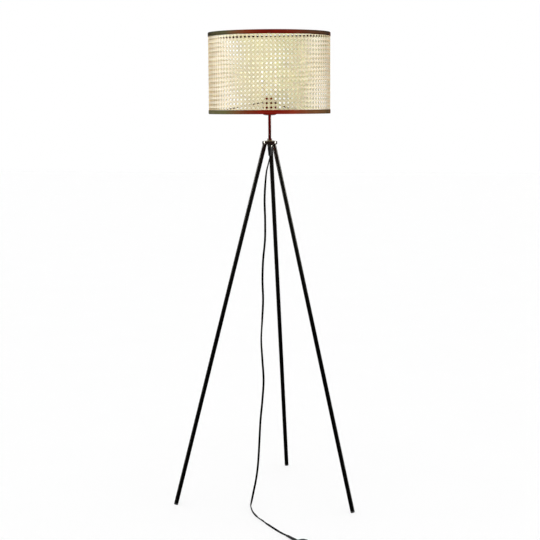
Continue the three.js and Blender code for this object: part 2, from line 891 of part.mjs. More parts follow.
// Cord
function addLead(lamp) {
  const start = new THREE.Vector3(0, 0, gripMouth - clearance);
  const heading = new THREE.Vector2(Math.cos(switchHeading), Math.sin(switchHeading));
  const end = new THREE.Vector3(
    switchPlace[0] - heading.x * clearance,
    switchPlace[1] - heading.y * clearance,
    switchAxisHeight,
  );
  const rest = cordThickness / 2 + clearance;
  const stretch = gripMouth / leadRouteTop;
  const level = (height) => Math.max(height * stretch, rest);
  const route = leadRoute.map(([x, y, height]) => new THREE.Vector3(x, y, level(height)));
  const points = [start, ...route, end];
  const path = new THREE.CatmullRomCurve3(points, false, "centripetal");
  const steps = Math.round(path.getLength() / cordStep);
  node(lamp, "cord_lead", tubeAlong(points, flatSection(cordThickness, cordWidth), steps), cordSkin);
}

// Foot switch, laid along X from the nose's tip
function relief(tipAt, rootAt) {
  const run = rootAt - tipAt;
  const width = (share) => reliefTipWidth + (reliefRootWidth - reliefTipWidth) * share;
  const ribs = [];
  for (let i = 1; i <= reliefRibCount; i += 1) {
    const share = i / (reliefRibCount + 3);
    const half = 1 / (reliefRibCount + 3) / 4;
    ribs.push(
      [width(share - half) / 2, tipAt + run * (share - half)],
      [width(share) / 2 - reliefRibDepth, tipAt + run * share],
      [width(share + half) / 2, tipAt + run * (share + half)],
    );
  }
  const profile = [[0, tipAt], [width(0) / 2, tipAt], ...ribs, [width(1) / 2, rootAt], [0, rootAt]];
  const squeeze = reliefTipHeight / reliefTipWidth;
  return turned(profile, smallSides).rotateY(Math.PI / 2).scale(1, 1, squeeze);
}

// The switch's outline seen from above, drawn in by inset.
function switchOutline(inset) {
  const end = switchLength / 2 - inset;
  const side = switchWidth / 2 - inset;
  const nose = switchEndWidth / 2 - inset;
  const shape = new THREE.Shape();
  shape.moveTo(-end, -nose);
  shape.bezierCurveTo(-end / 2, -side, -end / 2, -side, 0, -side);
  shape.bezierCurveTo(end / 2, -side, end / 2, -side, end, -nose);
  shape.lineTo(end, nose);
  shape.bezierCurveTo(end / 2, side, end / 2, side, 0, side);
  shape.bezierCurveTo(-end / 2, side, -end / 2, side, -end, nose);
  shape.closePath();
  return shape;
}

// The switch seen from the side: flat in the middle and falling to both ends.
function switchSide() {
  const end = switchLength / 2;
  const steep = (end * 2) / 3;
  const brow = switchHeight - switchWall;
  const shape = new THREE.Shape();
  shape.moveTo(-end, 0);
  shape.lineTo(end, 0);
  shape.lineTo(end, switchEndHeight);
  shape.bezierCurveTo(steep, brow, end / 2, switchHeight, switchCrown, switchHeight);
  shape.lineTo(-switchCrown, switchHeight);
  shape.bezierCurveTo(-end / 2, switchHeight, -steep, brow, -end, switchEndHeight);
  shape.closePath();
  return shape;
}

function switchShell() {
  const settings = {
    depth: switchHeight - switchRound,
    bevelEnabled: true,
    bevelThickness: switchRound,
    bevelSize: switchRound,
    bevelSegments: 3,
    curveSegments: 5,
  };
  const blank = new THREE.ExtrudeGeometry(switchOutline(switchRound), settings);
  const side = prism(switchSide(), -switchWidth, switchWidth, 5).rotateX(Math.PI / 2);
  return shared(blank, side);
}

const chamberRadius = buttonDiameter / 2 + buttonFlange + chamberRoom;

function screwPlaces() {
  return [-screwPlace, screwPlace];
}

function switchBase() {
  const reach = switchLength;
  const top = switchParting - clearance / 2;
  const lower = cut(switchShell(), box([-reach, -reach, top], [reach, reach, reach]));
  const chamber = cylinder(chamberRadius, switchWall, switchParting, turnedSides);
  const headRoom = screwHeadHeight + clearance * 2;
  const holes = screwPlaces().flatMap((x) => [
    cylinder(screwShankDiameter / 2 + clearance, -overrun, switchHeight).translate(x, 0, 0),
    cylinder(screwHeadDiameter / 2 + clearance, -overrun, headRoom).translate(x, 0, 0),
  ]);
  return cut(lower, chamber, ...holes);
}

function switchCover() {
  const reach = switchLength;
  const bottom = switchParting + clearance / 2;
  const upper = cut(switchShell(), box([-reach, -reach, -reach], [reach, reach, bottom]));
  const chamber = cylinder(chamberRadius, switchParting, switchHeight - switchWall, turnedSides);
  const bite = bottom + screwBite + clearance;
  const holes = screwPlaces().map((x) =>
    cylinder(screwShankDiameter / 2 + clearance, switchParting, bite).translate(x, 0, 0),
  );
  const windowRadius = buttonDiameter / 2 + buttonGap;
  const window = cylinder(windowRadius, switchParting, switchHeight + overrun, turnedSides);
  return cut(upper, chamber, ...holes, window);
}

const buttonFlangeTop = switchHeight - switchWall - clearance;
const buttonBottom = buttonFlangeTop - buttonFlangeHeight - buttonSkirt;
const springTop = buttonBottom - clearance;
const blockTop = switchWall + clearance + blockHeight;

function switchButton() {
  const radius = buttonDiameter / 2;
  const top = switchHeight + buttonTravel + buttonPressedProud;
  return turned(
    [
      [0, buttonBottom],
      [springDiameter / 2 + springWire, buttonBottom],
      [springDiameter / 2 + springWire, buttonFlangeTop - buttonFlangeHeight],
      [radius + buttonFlange, buttonFlangeTop - buttonFlangeHeight],
      [radius + buttonFlange, buttonFlangeTop],
      [radius, buttonFlangeTop],
      ...corner(radius - buttonEdge, top - buttonEdge, buttonEdge, 0, 90),
      [0, top - buttonEdge / 4],
    ],
    turnedSides,
  );
}

// A tube round a line of points that turns with the line, joined ring by ring. Each ring is the section
// of [across, up] pairs set square to the line.
function sweptRings(line, section) {
  const up = new THREE.Vector3(0, 0, 1);
  const rings = line.map((point, i) => {
    const before = line[Math.max(i - 1, 0)];
    const after = line[Math.min(i + 1, line.length - 1)];
    const forward = after.clone().sub(before).normalize();
    const across = forward.clone().cross(up).normalize();
    const lift = across.clone().cross(forward);
    return section.map(([x, y]) => point.clone().addScaledVector(across, x).addScaledVector(lift, y));
  });
  const sides = section.length;
  const positions = rings.flat().flatMap((point) => point.toArray());
  const index = [];
  for (let i = 0; i + 1 < rings.length; i += 1) {
    for (let j = 0; j < sides; j += 1) {
      const a = i * sides + j;
      const b = i * sides + ((j + 1) % sides);
      index.push(a, b, a + sides, b, b + sides, a + sides);
    }
  }
  const last = (rings.length - 1) * sides;
  for (let j = 1; j + 1 < sides; j += 1) {
    index.push(0, j + 1, j);
    index.push(last, last + j, last + j + 1);
  }
  const geometry = new THREE.BufferGeometry();
  geometry.setAttribute("position", new THREE.Float32BufferAttribute(positions, 3));
  geometry.setIndex(index);
  geometry.computeVertexNormals();
  return { geometry, rings };
}

function roundSection(radius, sides) {
  return Array.from({ length: sides }, (_, i) => {
    const angle = (-i * 2 * Math.PI) / sides;
    return [radius * Math.cos(angle), radius * Math.sin(angle)];
  });
}

function switchSpring() {
  const bottom = blockTop + clearance + springWire / 2;
  const top = springTop - springWire / 2;
  const stepsATurn = 12;
  const steps = springTurns * stepsATurn;
  const line = [];
  for (let i = 0; i <= steps; i += 1) {
    const angle = (i * 2 * Math.PI) / stepsATurn;
    const reach = springDiameter / 2 - springWire / 2;
    const height = bottom + ((top - bottom) * i) / steps;
    line.push(new THREE.Vector3(reach * Math.cos(angle), reach * Math.sin(angle), height));
  }
  return sweptRings(line, roundSection(springWire / 2, 5)).geometry;
}

function switchScrew() {
  const head = screwHeadDiameter / 2;
  const shank = screwShankDiameter / 2;
  const headBottom = clearance;
  const headTop = headBottom + screwHeadHeight;
  return turned(
    [
      [0, headBottom],
      [head, headBottom],
      [head, headTop],
      [shank, headTop],
      [shank, switchParting + screwBite],
      [0, switchParting + screwBite],
    ],
    smallSides,
  );
}

function addSwitch(lamp) {
  const line = new THREE.Group();
  line.position.set(...switchPlace, 0);
  line.rotation.z = switchHeading;
  lamp.add(line);
  const body = new THREE.Group();
  body.position.x = switchMiddle;
  line.add(body);
  const tailRoot = switchMiddle + switchLength / 2 + clearance;
  const nose = relief(0, switchNoseLength).translate(0, 0, switchAxisHeight);
  const tail = relief(tailRoot + switchTailLength, tailRoot).translate(0, 0, switchAxisHeight);
  const blockSize = [blockLength / 2, blockWidth / 2];
  const blockBottom = switchWall + clearance;
  const block = box([-blockSize[0], -blockSize[1], blockBottom], [...blockSize, blockTop]);
  node(line, "switch_nose", nose, blackPlastic);
  node(line, "switch_tail", tail, blackPlastic);
  node(body, "switch_base", switchBase(), blackPlastic);
  node(body, "switch_cover", switchCover(), blackPlastic);
  node(body, "switch_button", switchButton(), blackPlastic);
  node(body, "switch_spring", switchSpring(), steel);
  node(body, "switch_block", block, whitePlastic);
  screwPlaces().forEach((x, i) => {
    node(body, `switch_screw_${i + 1}`, switchScrew(), steel).position.x = x;
  });
  return tailRoot + switchTailLength;
}

// Coil: the cord stands on its edge, spirals in on the lower layer and out on the upper one.
const coilFloor = tieThickness + clearance + clearance;
const coilLow = coilFloor + cordWidth / 2;
const edgeSection = [
  [0, cordWidth / 2],
  [-cordThickness / 2, cordWidth / 3],
  [-cordThickness / 2, -cordWidth / 3],
  [0, -cordWidth / 2],
  [cordThickness / 2, -cordWidth / 3],
  [cordThickness / 2, cordWidth / 3],
].reverse();

// The radius and height of the cord after a number of turns, counted from where it enters the coil.
function coilAt(turns) {
  const climb = 0.5;
  const innerTurn = coilTurnsALayer + climb / 2;
  const inward = Math.min(turns, innerTurn);
  const outward = Math.max(turns - innerTurn, 0);
  const climbed = THREE.MathUtils.smoothstep(turns, coilTurnsALayer, coilTurnsALayer + climb);
  return {
    radius: coilRadius - coilPitch * inward + coilPitch * outward,
    height: coilLow + coilLayerRise * climbed,
  };
}

// Places on the floor are worked out as a walk: a point, a heading and turns to the right.
function step(point, heading, distance) {
  return new THREE.Vector2(point.x + distance * Math.cos(heading), point.y + distance * Math.sin(heading));
}

function coilLayout(switchEnd) {
  const origin = new THREE.Vector2(...switchPlace);
  const tailStart = step(origin, switchHeading, switchEnd + clearance);
  const bendStart = step(tailStart, switchHeading, tailStraight);
  const bendCentre = step(bendStart, switchHeading - Math.PI / 2, tailBend);
  const heading = switchHeading - tailTurn;
  const bendEnd = step(bendCentre, heading + Math.PI / 2, tailBend);
  const entry = step(bendEnd, heading, tailToCoil);
  const centre = step(entry, heading - Math.PI / 2, coilRadius);
  return { tailStart, bendCentre, heading, entry, centre };
}

function addTail(lamp, layout) {
  const { tailStart, bendCentre, heading, entry } = layout;
  const bendSteps = 8;
  const tailEnd = step(entry, heading, -clearance);
  const level = (point, height) => new THREE.Vector3(point.x, point.y, height);
  const points = [level(tailStart, switchAxisHeight)];
  for (let i = 0; i <= bendSteps; i += 1) {
    const facing = switchHeading - (tailTurn * i) / bendSteps;
    points.push(level(step(bendCentre, facing + Math.PI / 2, tailBend), coilLow));
  }
  points.push(level(step(tailEnd, heading, -tailToCoil / 2), coilLow), level(tailEnd, coilLow));
  const path = new THREE.CatmullRomCurve3(points, false, "centripetal");
  const steps = Math.round((path.getLength() / cordStep) * 2);
  node(lamp, "cord_tail", tubeAlong(points, flatSection(cordWidth, cordThickness), steps), cordSkin);
}

function coilLine(layout) {
  const { heading, centre } = layout;
  const turns = 2 * coilTurnsALayer + 0.5;
  const steps = Math.round(turns * coilStepsATurn);
  const line = [];
  for (let i = 0; i <= steps; i += 1) {
    const done = (turns * i) / steps;
    const { radius, height } = coilAt(done);
    const facing = heading + Math.PI / 2 - done * 2 * Math.PI;
    const place = step(centre, facing, radius);
    line.push(new THREE.Vector3(place.x, place.y, height));
  }
  const exit = line[line.length - 1];
  const plugAxis = plugThickness / 2 + clearance;
  const leadSteps = 6;
  for (let i = 1; i <= leadSteps; i += 1) {
    const share = i / leadSteps;
    const drop = THREE.MathUtils.smoothstep(share, 0, 0.8);
    const place = step(exit, heading, coilLeadOut * share);
    line.push(new THREE.Vector3(place.x, place.y, exit.z + (plugAxis - exit.z) * drop));
  }
  return line;
}

// The least distance between parts of the coil's surface that lie over half a turn apart along it.
function leastGap(rings) {
  const fine = 4;
  const points = [];
  for (let i = 0; i + 1 < rings.length; i += 1) {
    for (let k = 0; k < fine; k += 1) {
      for (let j = 0; j < rings[i].length; j += 1) {
        const next = (j + 1) % rings[i].length;
        const here = rings[i][j].clone().lerp(rings[i + 1][j], k / fine);
        const there = rings[i][next].clone().lerp(rings[i + 1][next], k / fine);
        for (let m = 0; m < fine; m += 1) points.push({ at: here.clone().lerp(there, m / fine), ring: i });
      }
    }
  }
  let least = Infinity;
  for (let a = 0; a < points.length; a += 1) {
    for (let b = a + 1; b < points.length; b += 1) {
      if (points[b].ring - points[a].ring < coilStepsATurn / 2) continue;
      least = Math.min(least, points[a].at.distanceToSquared(points[b].at));
    }
  }
  return Math.sqrt(least);
}

function tie(layout) {
  const { radius: inner } = coilAt(coilTurnsALayer + 0.25);
  const low = inner - cordThickness / 2 - tieRoom;
  const high = coilRadius + cordThickness / 2 + tieRoom;
  const bottom = tieThickness + clearance / 2;
  const top = coilLow + coilLayerRise + cordWidth / 2 + tieRoom;
  const rounded = (shape, grow) => {
    const reach = tieRoom + grow;
    const left = low - grow;
    const right = high + grow;
    const floor = bottom - grow;
    const ceiling = top + grow;
    shape.moveTo(left + reach, floor);
    shape.lineTo(right - reach, floor);
    shape.quadraticCurveTo(right, floor, right, floor + reach);
    shape.lineTo(right, ceiling - reach);
    shape.quadraticCurveTo(right, ceiling, right - reach, ceiling);
    shape.lineTo(left + reach, ceiling);
    shape.quadraticCurveTo(left, ceiling, left, ceiling - reach);
    shape.lineTo(left, floor + reach);
    shape.quadraticCurveTo(left, floor, left + reach, floor);
    return shape;
  };
  const band = rounded(new THREE.Shape(), tieThickness);
  band.holes.push(rounded(new THREE.Path(), 0));
  const geometry = prism(band, -tieWidth / 2, tieWidth / 2, 3).rotateX(Math.PI / 2);
  const facing = layout.heading - Math.PI / 2;
  return geometry.rotateZ(facing).translate(layout.centre.x, layout.centre.y, 0);
}

// Plug, laid along X from the lead-out's end
function plugOutline(inset) {
  const side = plugWidth / 2 - inset;
  const neck = plugNeckWidth / 2 - inset;
  const front = plugReliefLength + plugLength - inset;
  const back = plugReliefLength + inset;
  const waist = back + plugLength / 3;
  const shape = new THREE.Shape();
  shape.moveTo(back, -neck);
  shape.quadraticCurveTo(waist, -neck, waist + plugLength / 6, -side);
  shape.lineTo(front, -side);
  shape.lineTo(front, side);
  shape.lineTo(waist + plugLength / 6, side);
  shape.quadraticCurveTo(waist, neck, back, neck);
  shape.closePath();
  return shape;
}

function plugBody() {
  const settings = {
    depth: plugThickness - 2 * plugRound,
    bevelEnabled: true,
    bevelThickness: plugRound,
    bevelSize: plugRound,
    bevelSegments: 2,
    curveSegments: 4,
  };
  const block = new THREE.ExtrudeGeometry(plugOutline(plugRound), settings);
  block.translate(0, 0, plugRound - plugThickness / 2);
  const neck = reliefTipWidth / 2;
  const root = plugNeckWidth / 2 - clearance;
  const boot = turned(
    [
      [0, 0],
      [neck, 0],
      [root, plugReliefLength],
      [root, plugReliefLength + plugRound * 2],
      [0, plugReliefLength + plugRound * 2],
    ],
    smallSides,
  ).rotateY(Math.PI / 2);
  const front = plugReliefLength + plugLength;
  const holeEnd = front - pinSeat - clearance;
  const pinHole = cylinder(pinDiameter / 2 + clearance, holeEnd, front + overrun).rotateY(Math.PI / 2);
  const holes = [-1, 1].map((side) => pinHole.clone().translate(0, (side * pinSpacing) / 2, 0));
  return cut(joined(block, boot), ...holes);
}

function plugPin() {
  const start = plugReliefLength + plugLength - pinSeat;
  const end = plugReliefLength + plugLength + pinLength;
  const radius = pinDiameter / 2;
  const nose = radius / 2;
  const tip = corner(radius - nose, end - nose, nose, 0, 90, 2);
  return turned([[0, start], [radius, start], ...tip, [0, end]], smallSides).rotateY(Math.PI / 2);
}

function addCoilAndPlug(lamp, switchEnd) {
  const layout = coilLayout(switchEnd);
  addTail(lamp, layout);
  const line = coilLine(layout);
  const { geometry, rings } = sweptRings(line, edgeSection);
  console.log(`coil: least gap to itself ${leastGap(rings).toFixed(2)} mm`);
  node(lamp, "cord_coil", geometry, cordSkin);
  node(lamp, "cord_tie", tie(layout), rubber);
  const end = line[line.length - 1];
  const place = step(end, layout.heading, clearance);
  const plug = new THREE.Group();
  plug.position.set(place.x, place.y, end.z);
  plug.rotation.z = layout.heading;
  lamp.add(plug);
  node(plug, "plug_body", plugBody(), blackPlastic);
  [-1, 1].forEach((side, i) => {
    node(plug, `plug_pin_${i + 1}`, plugPin(), brass).position.y = (side * pinSpacing) / 2;
  });
}

// The whole lamp
const lamp = new THREE.Group();
addShade(lamp);
addLampholder(lamp);
addBulb(lamp);
addStemAndHub(lamp);
legIndices.forEach((i) => addLeg(lamp, i));
const standing = [...nodes.values()];
addLead(lamp);
addCoilAndPlug(lamp, addSwitch(lamp));

lamp.updateMatrixWorld(true);
const footprint = new THREE.Box3();
standing.forEach((mesh) => footprint.expandByObject(mesh, true));
const middle = footprint.getCenter(new THREE.Vector3());
lamp.position.set(-middle.x, -middle.y, 0);

export default lamp;
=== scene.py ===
import math
import random

import bmesh
import bpy
from mathutils import Matrix, Vector


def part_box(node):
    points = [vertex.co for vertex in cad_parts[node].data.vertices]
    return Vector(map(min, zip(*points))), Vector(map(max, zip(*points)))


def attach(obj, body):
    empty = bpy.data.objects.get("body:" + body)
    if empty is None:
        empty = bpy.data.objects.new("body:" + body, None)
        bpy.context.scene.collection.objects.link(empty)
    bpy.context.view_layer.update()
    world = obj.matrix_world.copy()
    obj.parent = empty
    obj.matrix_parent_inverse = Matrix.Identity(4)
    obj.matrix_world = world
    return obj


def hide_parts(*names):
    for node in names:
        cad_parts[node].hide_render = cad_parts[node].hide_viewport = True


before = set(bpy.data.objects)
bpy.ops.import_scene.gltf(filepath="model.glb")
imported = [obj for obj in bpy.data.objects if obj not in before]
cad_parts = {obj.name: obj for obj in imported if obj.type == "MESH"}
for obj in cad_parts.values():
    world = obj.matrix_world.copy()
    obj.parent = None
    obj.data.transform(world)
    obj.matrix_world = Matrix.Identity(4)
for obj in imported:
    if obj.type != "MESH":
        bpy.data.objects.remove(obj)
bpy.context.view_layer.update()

TAU = 2 * math.pi
MM = 0.001
rng = random.Random(7)
stem_low, stem_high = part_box("stem_tube")
AXIS = Vector(((stem_low.x + stem_high.x) / 2, (stem_low.y + stem_high.y) / 2, 0))


def at_axis(point):
    """A point in millimetres from the lamp's axis, as a place in the scene."""
    return Vector(point) * MM + AXIS


def upward(height):
    return Vector((0, 0, height))


def heading_of(angle):
    """The level direction at an angle from +X."""
    return Vector((math.cos(angle), math.sin(angle), 0))


def clamped(value):
    return min(1, max(0, value))


def eased(value):
    """A share from 0 to 1 that starts and ends gently."""
    share = clamped(value)
    return share * share * (3 - 2 * share)


# Camera: the place and aim that the photograph was taken from.
CAMERA_TURN = math.radians(9.3855)  # round the lamp, from straight in front
CAMERA_DISTANCE = 4.2
CAMERA_HEIGHT = 1.31909
CAMERA_PITCH = math.radians(7.478)
CAMERA_PAN = math.radians(-0.021)
CAMERA_ROLL = math.radians(-0.328)
CAMERA_LENS = 84.7075


def add_camera():
    data = bpy.data.cameras.new("camera")
    data.lens = CAMERA_LENS
    data.sensor_width = 36
    data.clip_end = 60
    camera = bpy.data.objects.new("camera", data)
    bpy.context.scene.collection.objects.link(camera)
    place = Matrix.Rotation(CAMERA_TURN, 3, "Z") @ Vector((0, -CAMERA_DISTANCE, CAMERA_HEIGHT)) + AXIS
    turn = (
        Matrix.Rotation(CAMERA_TURN - CAMERA_PAN, 4, "Z")
        @ Matrix.Rotation(math.pi / 2 - CAMERA_PITCH, 4, "X")
        @ Matrix.Rotation(CAMERA_ROLL, 4, "Z")
    )
    camera.matrix_world = Matrix.Translation(place) @ turn
    bpy.context.scene.camera = camera


add_camera()
bpy.context.scene.view_settings.view_transform = "Standard"


# Node materials
class Nodes:
    """The node tree of a material, or of the world, built by short calls."""

    def __init__(self, name, blocks=bpy.data.materials, shader="Principled BSDF", output="Material Output"):
        self.block = blocks.new(name)
        self.block.use_nodes = True
        self.tree = self.block.node_tree
        self.shader = self.tree.nodes[shader]
        self.output = self.tree.nodes[output]

    def node(self, kind, inputs=(), **settings):
        made = self.tree.nodes.new(kind)
        for key, value in settings.items():
            setattr(made, key, value)
        for key, value in dict(inputs).items():
            self.put(made.inputs[key], value)
        return made

    def put(self, socket, value):
        if isinstance(value, bpy.types.NodeSocket):
            self.tree.links.new(value, socket)
        elif isinstance(value, bpy.types.Node):
            self.tree.links.new(value.outputs[0], socket)
        else:
            socket.default_value = value

    def set(self, **values):
        for key, value in values.items():
            self.put(self.shader.inputs[key.replace("_", " ")], value)
        return self

    def place(self, scale=(1, 1, 1), shift=(0, 0, 0)):
        coordinates = self.node("ShaderNodeTexCoord")
        inputs = {"Vector": coordinates.outputs["Object"], "Scale": scale, "Location": shift}
        return self.node("ShaderNodeMapping", inputs)

    def noise(self, scale, detail=3, roughness=0.5, stretch=(1, 1, 1)):
        inputs = {"Vector": self.place(stretch), "Scale": scale, "Detail": detail, "Roughness": roughness}
        return self.node("ShaderNodeTexNoise", inputs).outputs["Fac"]

    def math(self, operation, first, second=0.0):
        made = self.node("ShaderNodeMath", operation=operation)
        self.put(made.inputs[0], first)
        self.put(made.inputs[1], second)
        return made.outputs[0]

    def height(self):
        """Height above the floor, in metres."""
        return self.node("ShaderNodeSeparateXYZ", {"Vector": self.place()}).outputs["Z"]

    def turn(self):
        """0 to 1 once round the lamp's axis."""
        around = self.place(shift=(-AXIS.x, -AXIS.y, 0))
        return self.node("ShaderNodeTexGradient", {"Vector": around}, gradient_type="RADIAL").outputs["Fac"]

    def wave(self, value, count):
        """0 to 1 and back, that many times as value goes from 0 to 1."""
        return self.range(self.math("SINE", self.math("MULTIPLY", value, count * TAU)), 0, 1, (-1, 1))

    def ramp(self, factor, *stops):
        made = self.node("ShaderNodeValToRGB", {"Fac": factor})
        elements = made.color_ramp.elements
        while len(elements) < len(stops):
            elements.new(1)
        for element, (position, colour) in zip(elements, stops):
            element.position = position
            element.color = colour
        return made.outputs["Color"]

    def range(self, factor, low, high, source=(0, 1)):
        ends = {"From Min": source[0], "From Max": source[1], "To Min": low, "To Max": high}
        return self.node("ShaderNodeMapRange", {"Value": factor, **ends}).outputs["Result"]

    def blend(self, factor, first, second, mode="MIX"):
        made = self.node("ShaderNodeMix", {"Factor": factor}, data_type="RGBA", blend_type=mode)
        sockets = [socket for socket in made.inputs if socket.type == "RGBA"]
        self.put(sockets[0], first)
        self.put(sockets[1], second)
        return [socket for socket in made.outputs if socket.type == "RGBA"][0]

    def bump(self, height, distance):
        return self.node("ShaderNodeBump", {"Height": height, "Distance": distance}).outputs["Normal"]

    def seen(self):
        """1 for rays from the camera, a reflection or a transmission, else 0."""
        path = self.node("ShaderNodeLightPath")
        seen = path.outputs["Is Camera Ray"]
        for kind in ("Is Glossy Ray", "Is Transmission Ray"):
            seen = self.math("MAXIMUM", seen, path.outputs[kind])
        return seen

    def mix_surface(self, factor, first, second):
        mix = self.node("ShaderNodeMixShader", {"Fac": factor})
        self.put(mix.inputs[1], first)
        self.put(mix.inputs[2], second)
        self.put(self.output.inputs["Surface"], mix)


def grey(value):
    return (value, value, value, 1)


def shade_of(colour, share):
    return (*[min(1, c * share) for c in colour[:3]], 1)


def moulded(name, colour, low, high, grain=0.00004, coat=0.0, gloss=0.4, lit=0.0):
    """A moulded plastic or rubber: fine grain, and a roughness that drifts over the surface. lit gives it a
    painted glow of its own colour.
    """
    made = Nodes(name)
    drift = made.noise(60, detail=4)
    fine = made.noise(2600, detail=2)
    tone = made.ramp(drift, (0.3, shade_of(colour, 0.8)), (0.7, colour))
    made.set(Base_Color=tone, Roughness=made.range(drift, low, high), Normal=made.bump(fine, grain))
    made.set(Specular_IOR_Level=gloss)
    if coat:
        made.set(Coat_Weight=coat, Coat_Roughness=0.12)
    if lit:
        made.set(Emission_Color=shade_of(colour, 1.1), Emission_Strength=lit)
    return made.block


def plated(name, colour, low, high):
    """A plated or bare metal, faintly brushed round Z."""
    made = Nodes(name)
    streaks = made.noise(900, detail=4, stretch=(1, 1, 0.06))
    tone = made.ramp(streaks, (0.25, shade_of(colour, 0.75)), (0.75, colour))
    made.set(Base_Color=tone, Metallic=1.0, Roughness=made.range(streaks, low, high))
    made.set(Normal=made.bump(streaks, 0.00001))
    return made.block


SHEEN = (1, 0.96, 0.76, 1)  # the tint of what paint reflects straight on


def painted(name, stops, low, high, gloss, top_gloss=None):
    """A smooth paint with faint orange peel. Its colour, with any painted glow or highlight, runs through
    stops of (height in mm, colour).
    """
    made = Nodes(name)
    drift = made.noise(14, detail=3)
    peel = made.noise(700, detail=1)
    first, last = stops[0][0], stops[-1][0]
    share = made.range(made.height(), 0, 1, (first * MM, last * MM))
    run = made.ramp(share, *[((h - first) / (last - first), colour) for h, colour in stops])
    tone = made.blend(made.range(drift, 0, 0.25), run, grey(0), "MULTIPLY")
    made.set(Base_Color=tone, Roughness=made.range(drift, low, high), Normal=made.bump(peel, 0.00001))
    made.set(Specular_IOR_Level=gloss, Specular_Tint=SHEEN)
    if top_gloss:
        made.set(Specular_IOR_Level=made.range(share, gloss, top_gloss, (0.5, 0.9)))
    return made.block


CANE_COLOUR = (0.86, 0.78, 0.65, 1)
CANE_THROUGH = (0.9, 0.95, 0.7, 1)
# The diagonals' cane, darker and more olive than the rest, and letting less light through: partly its own
# colour, partly painted shade.
BINDER_COLOUR_AND_SHADE = (0.74, 0.68, 0.46, 1)
BINDER_THROUGH = (0.64, 0.7, 0.3, 1)
CANE_EDGE_AND_SHADE = (1.0, 0.78, 0.54, 1)  # how the strands' cut edges differ from their outer faces: partly their own browner colour, partly painted shade
CANE_INSIDE_PAINTED_SHADE = (0.5, 0.4, 0.29, 1)  # painted shade on their inner faces, at the drum's two sides
CANE_LINING_PAINTED_LIGHT = (1.12, 1.15, 1.36, 1)  # painted light on their inner faces, at its front and back
CANE_ENTERED = 0.25  # the share of the light that goes into a strand


def cane_material(name, colour, passed):
    """Split cane: long fibres, a drifting straw colour and darker nodes, and light that passes through. Its
    inner faces carry painted shade at the drum's sides and painted light at its front and back, and its cut
    edges some painted shade.
    """
    made = Nodes(name)
    own = made.node("ShaderNodeAttribute", attribute_name="tone").outputs["Fac"]
    patches = made.noise(9, detail=3)
    fibres = made.noise(1100, detail=3, roughness=0.6)
    marks = made.noise(120, detail=4, roughness=0.6)
    tone = made.math("ADD", made.math("MULTIPLY", own, 0.7), made.math("MULTIPLY", patches, 0.3))
    straw = made.ramp(tone, (0.15, shade_of(colour, 0.88)), (0.5, colour), (0.85, shade_of(colour, 1.08)))
    marked = made.blend(made.range(marks, 0, 0.35, (0.6, 0.72)), straw, (0.5, 0.32, 0.16, 1), "MULTIPLY")
    side = made.node("ShaderNodeAttribute", attribute_name="side").outputs["Fac"]
    # Painted light and shade on the strands' inner faces and cut edges, by the side mark.
    cut = made.ramp(side, (0.1, grey(1)), (0.3, CANE_LINING_PAINTED_LIGHT), (0.5, CANE_INSIDE_PAINTED_SHADE), (0.9, CANE_EDGE_AND_SHADE))
    sided = made.blend(1, marked, cut, "MULTIPLY")
    made.set(Base_Color=sided, Roughness=made.range(fibres, 0.42, 0.6), Specular_IOR_Level=0.3)
    made.set(Normal=made.bump(fibres, 0.00006))
    filtered = made.blend(made.range(side, 0, 1, (0.6, 1)), passed, CANE_EDGE_AND_SHADE, "MULTIPLY")
    glow = {"Color": filtered, "Roughness": 0.75, "IOR": 1.45}
    through = made.node("ShaderNodeBsdfRefraction", glow)
    leaving = made.node("ShaderNodeNewGeometry").outputs["Backfacing"]
    made.mix_surface(made.range(leaving, CANE_ENTERED, 1), made.shader, through)
    return made.block


SHADE_BOTTOM = 1285
SHADE_TOP = 1547
TAPE_MIDDLES = (SHADE_BOTTOM + 6.5, SHADE_TOP - 6.5)
TAPE_RIBS = 1100
TAPE_FRONT = CAMERA_TURN - math.pi / 2
# Painted glow of the bulb's red light through the tape, in the next three colours.
TAPE_GLOW_RED = (0.27, 0.009, 0.004, 1)
TAPE_GLOW_DEEP_RED = (0.21, 0.007, 0.003, 1)
TAPE_GLOW_RED_BROWN = (0.26, 0.04, 0.012, 1)
TAPE_PALE = (0.05, 0.03, 0.018, 1)
TAPE_INSIDE = (0.03, 0.003, 0.003, 1)
# The colours of the lower and the upper tape, by degrees from their fronts: painted glow of the bulb's red
# light at the front and back, and painted olive sheen at the sides.
TAPE_LOW = [
    (-115, TAPE_GLOW_RED_BROWN), (-80, (0.12, 0.115, 0.064, 1)), (-45, (0.17, 0.16, 0.062, 1)), (-20, TAPE_GLOW_RED_BROWN),
    (-8, TAPE_GLOW_RED), (8, TAPE_GLOW_RED), (22, (0.3, 0.034, 0.011, 1)), (42, (0.23, 0.085, 0.028, 1)),
    (70, (0.09, 0.055, 0.021, 1)), (115, TAPE_GLOW_RED_BROWN),
]
TAPE_HIGH = [
    (-115, TAPE_GLOW_RED_BROWN), (-80, (0.02, 0.016, 0.007, 1)), (-45, (0.105, 0.105, 0.048, 1)), (-20, TAPE_GLOW_RED_BROWN),
    (-8, TAPE_GLOW_DEEP_RED), (8, TAPE_GLOW_DEEP_RED), (22, (0.155, 0.015, 0.005, 1)), (42, (0.1, 0.033, 0.012, 1)),
    (70, (0.042, 0.022, 0.011, 1)), (115, TAPE_GLOW_RED_BROWN),
]


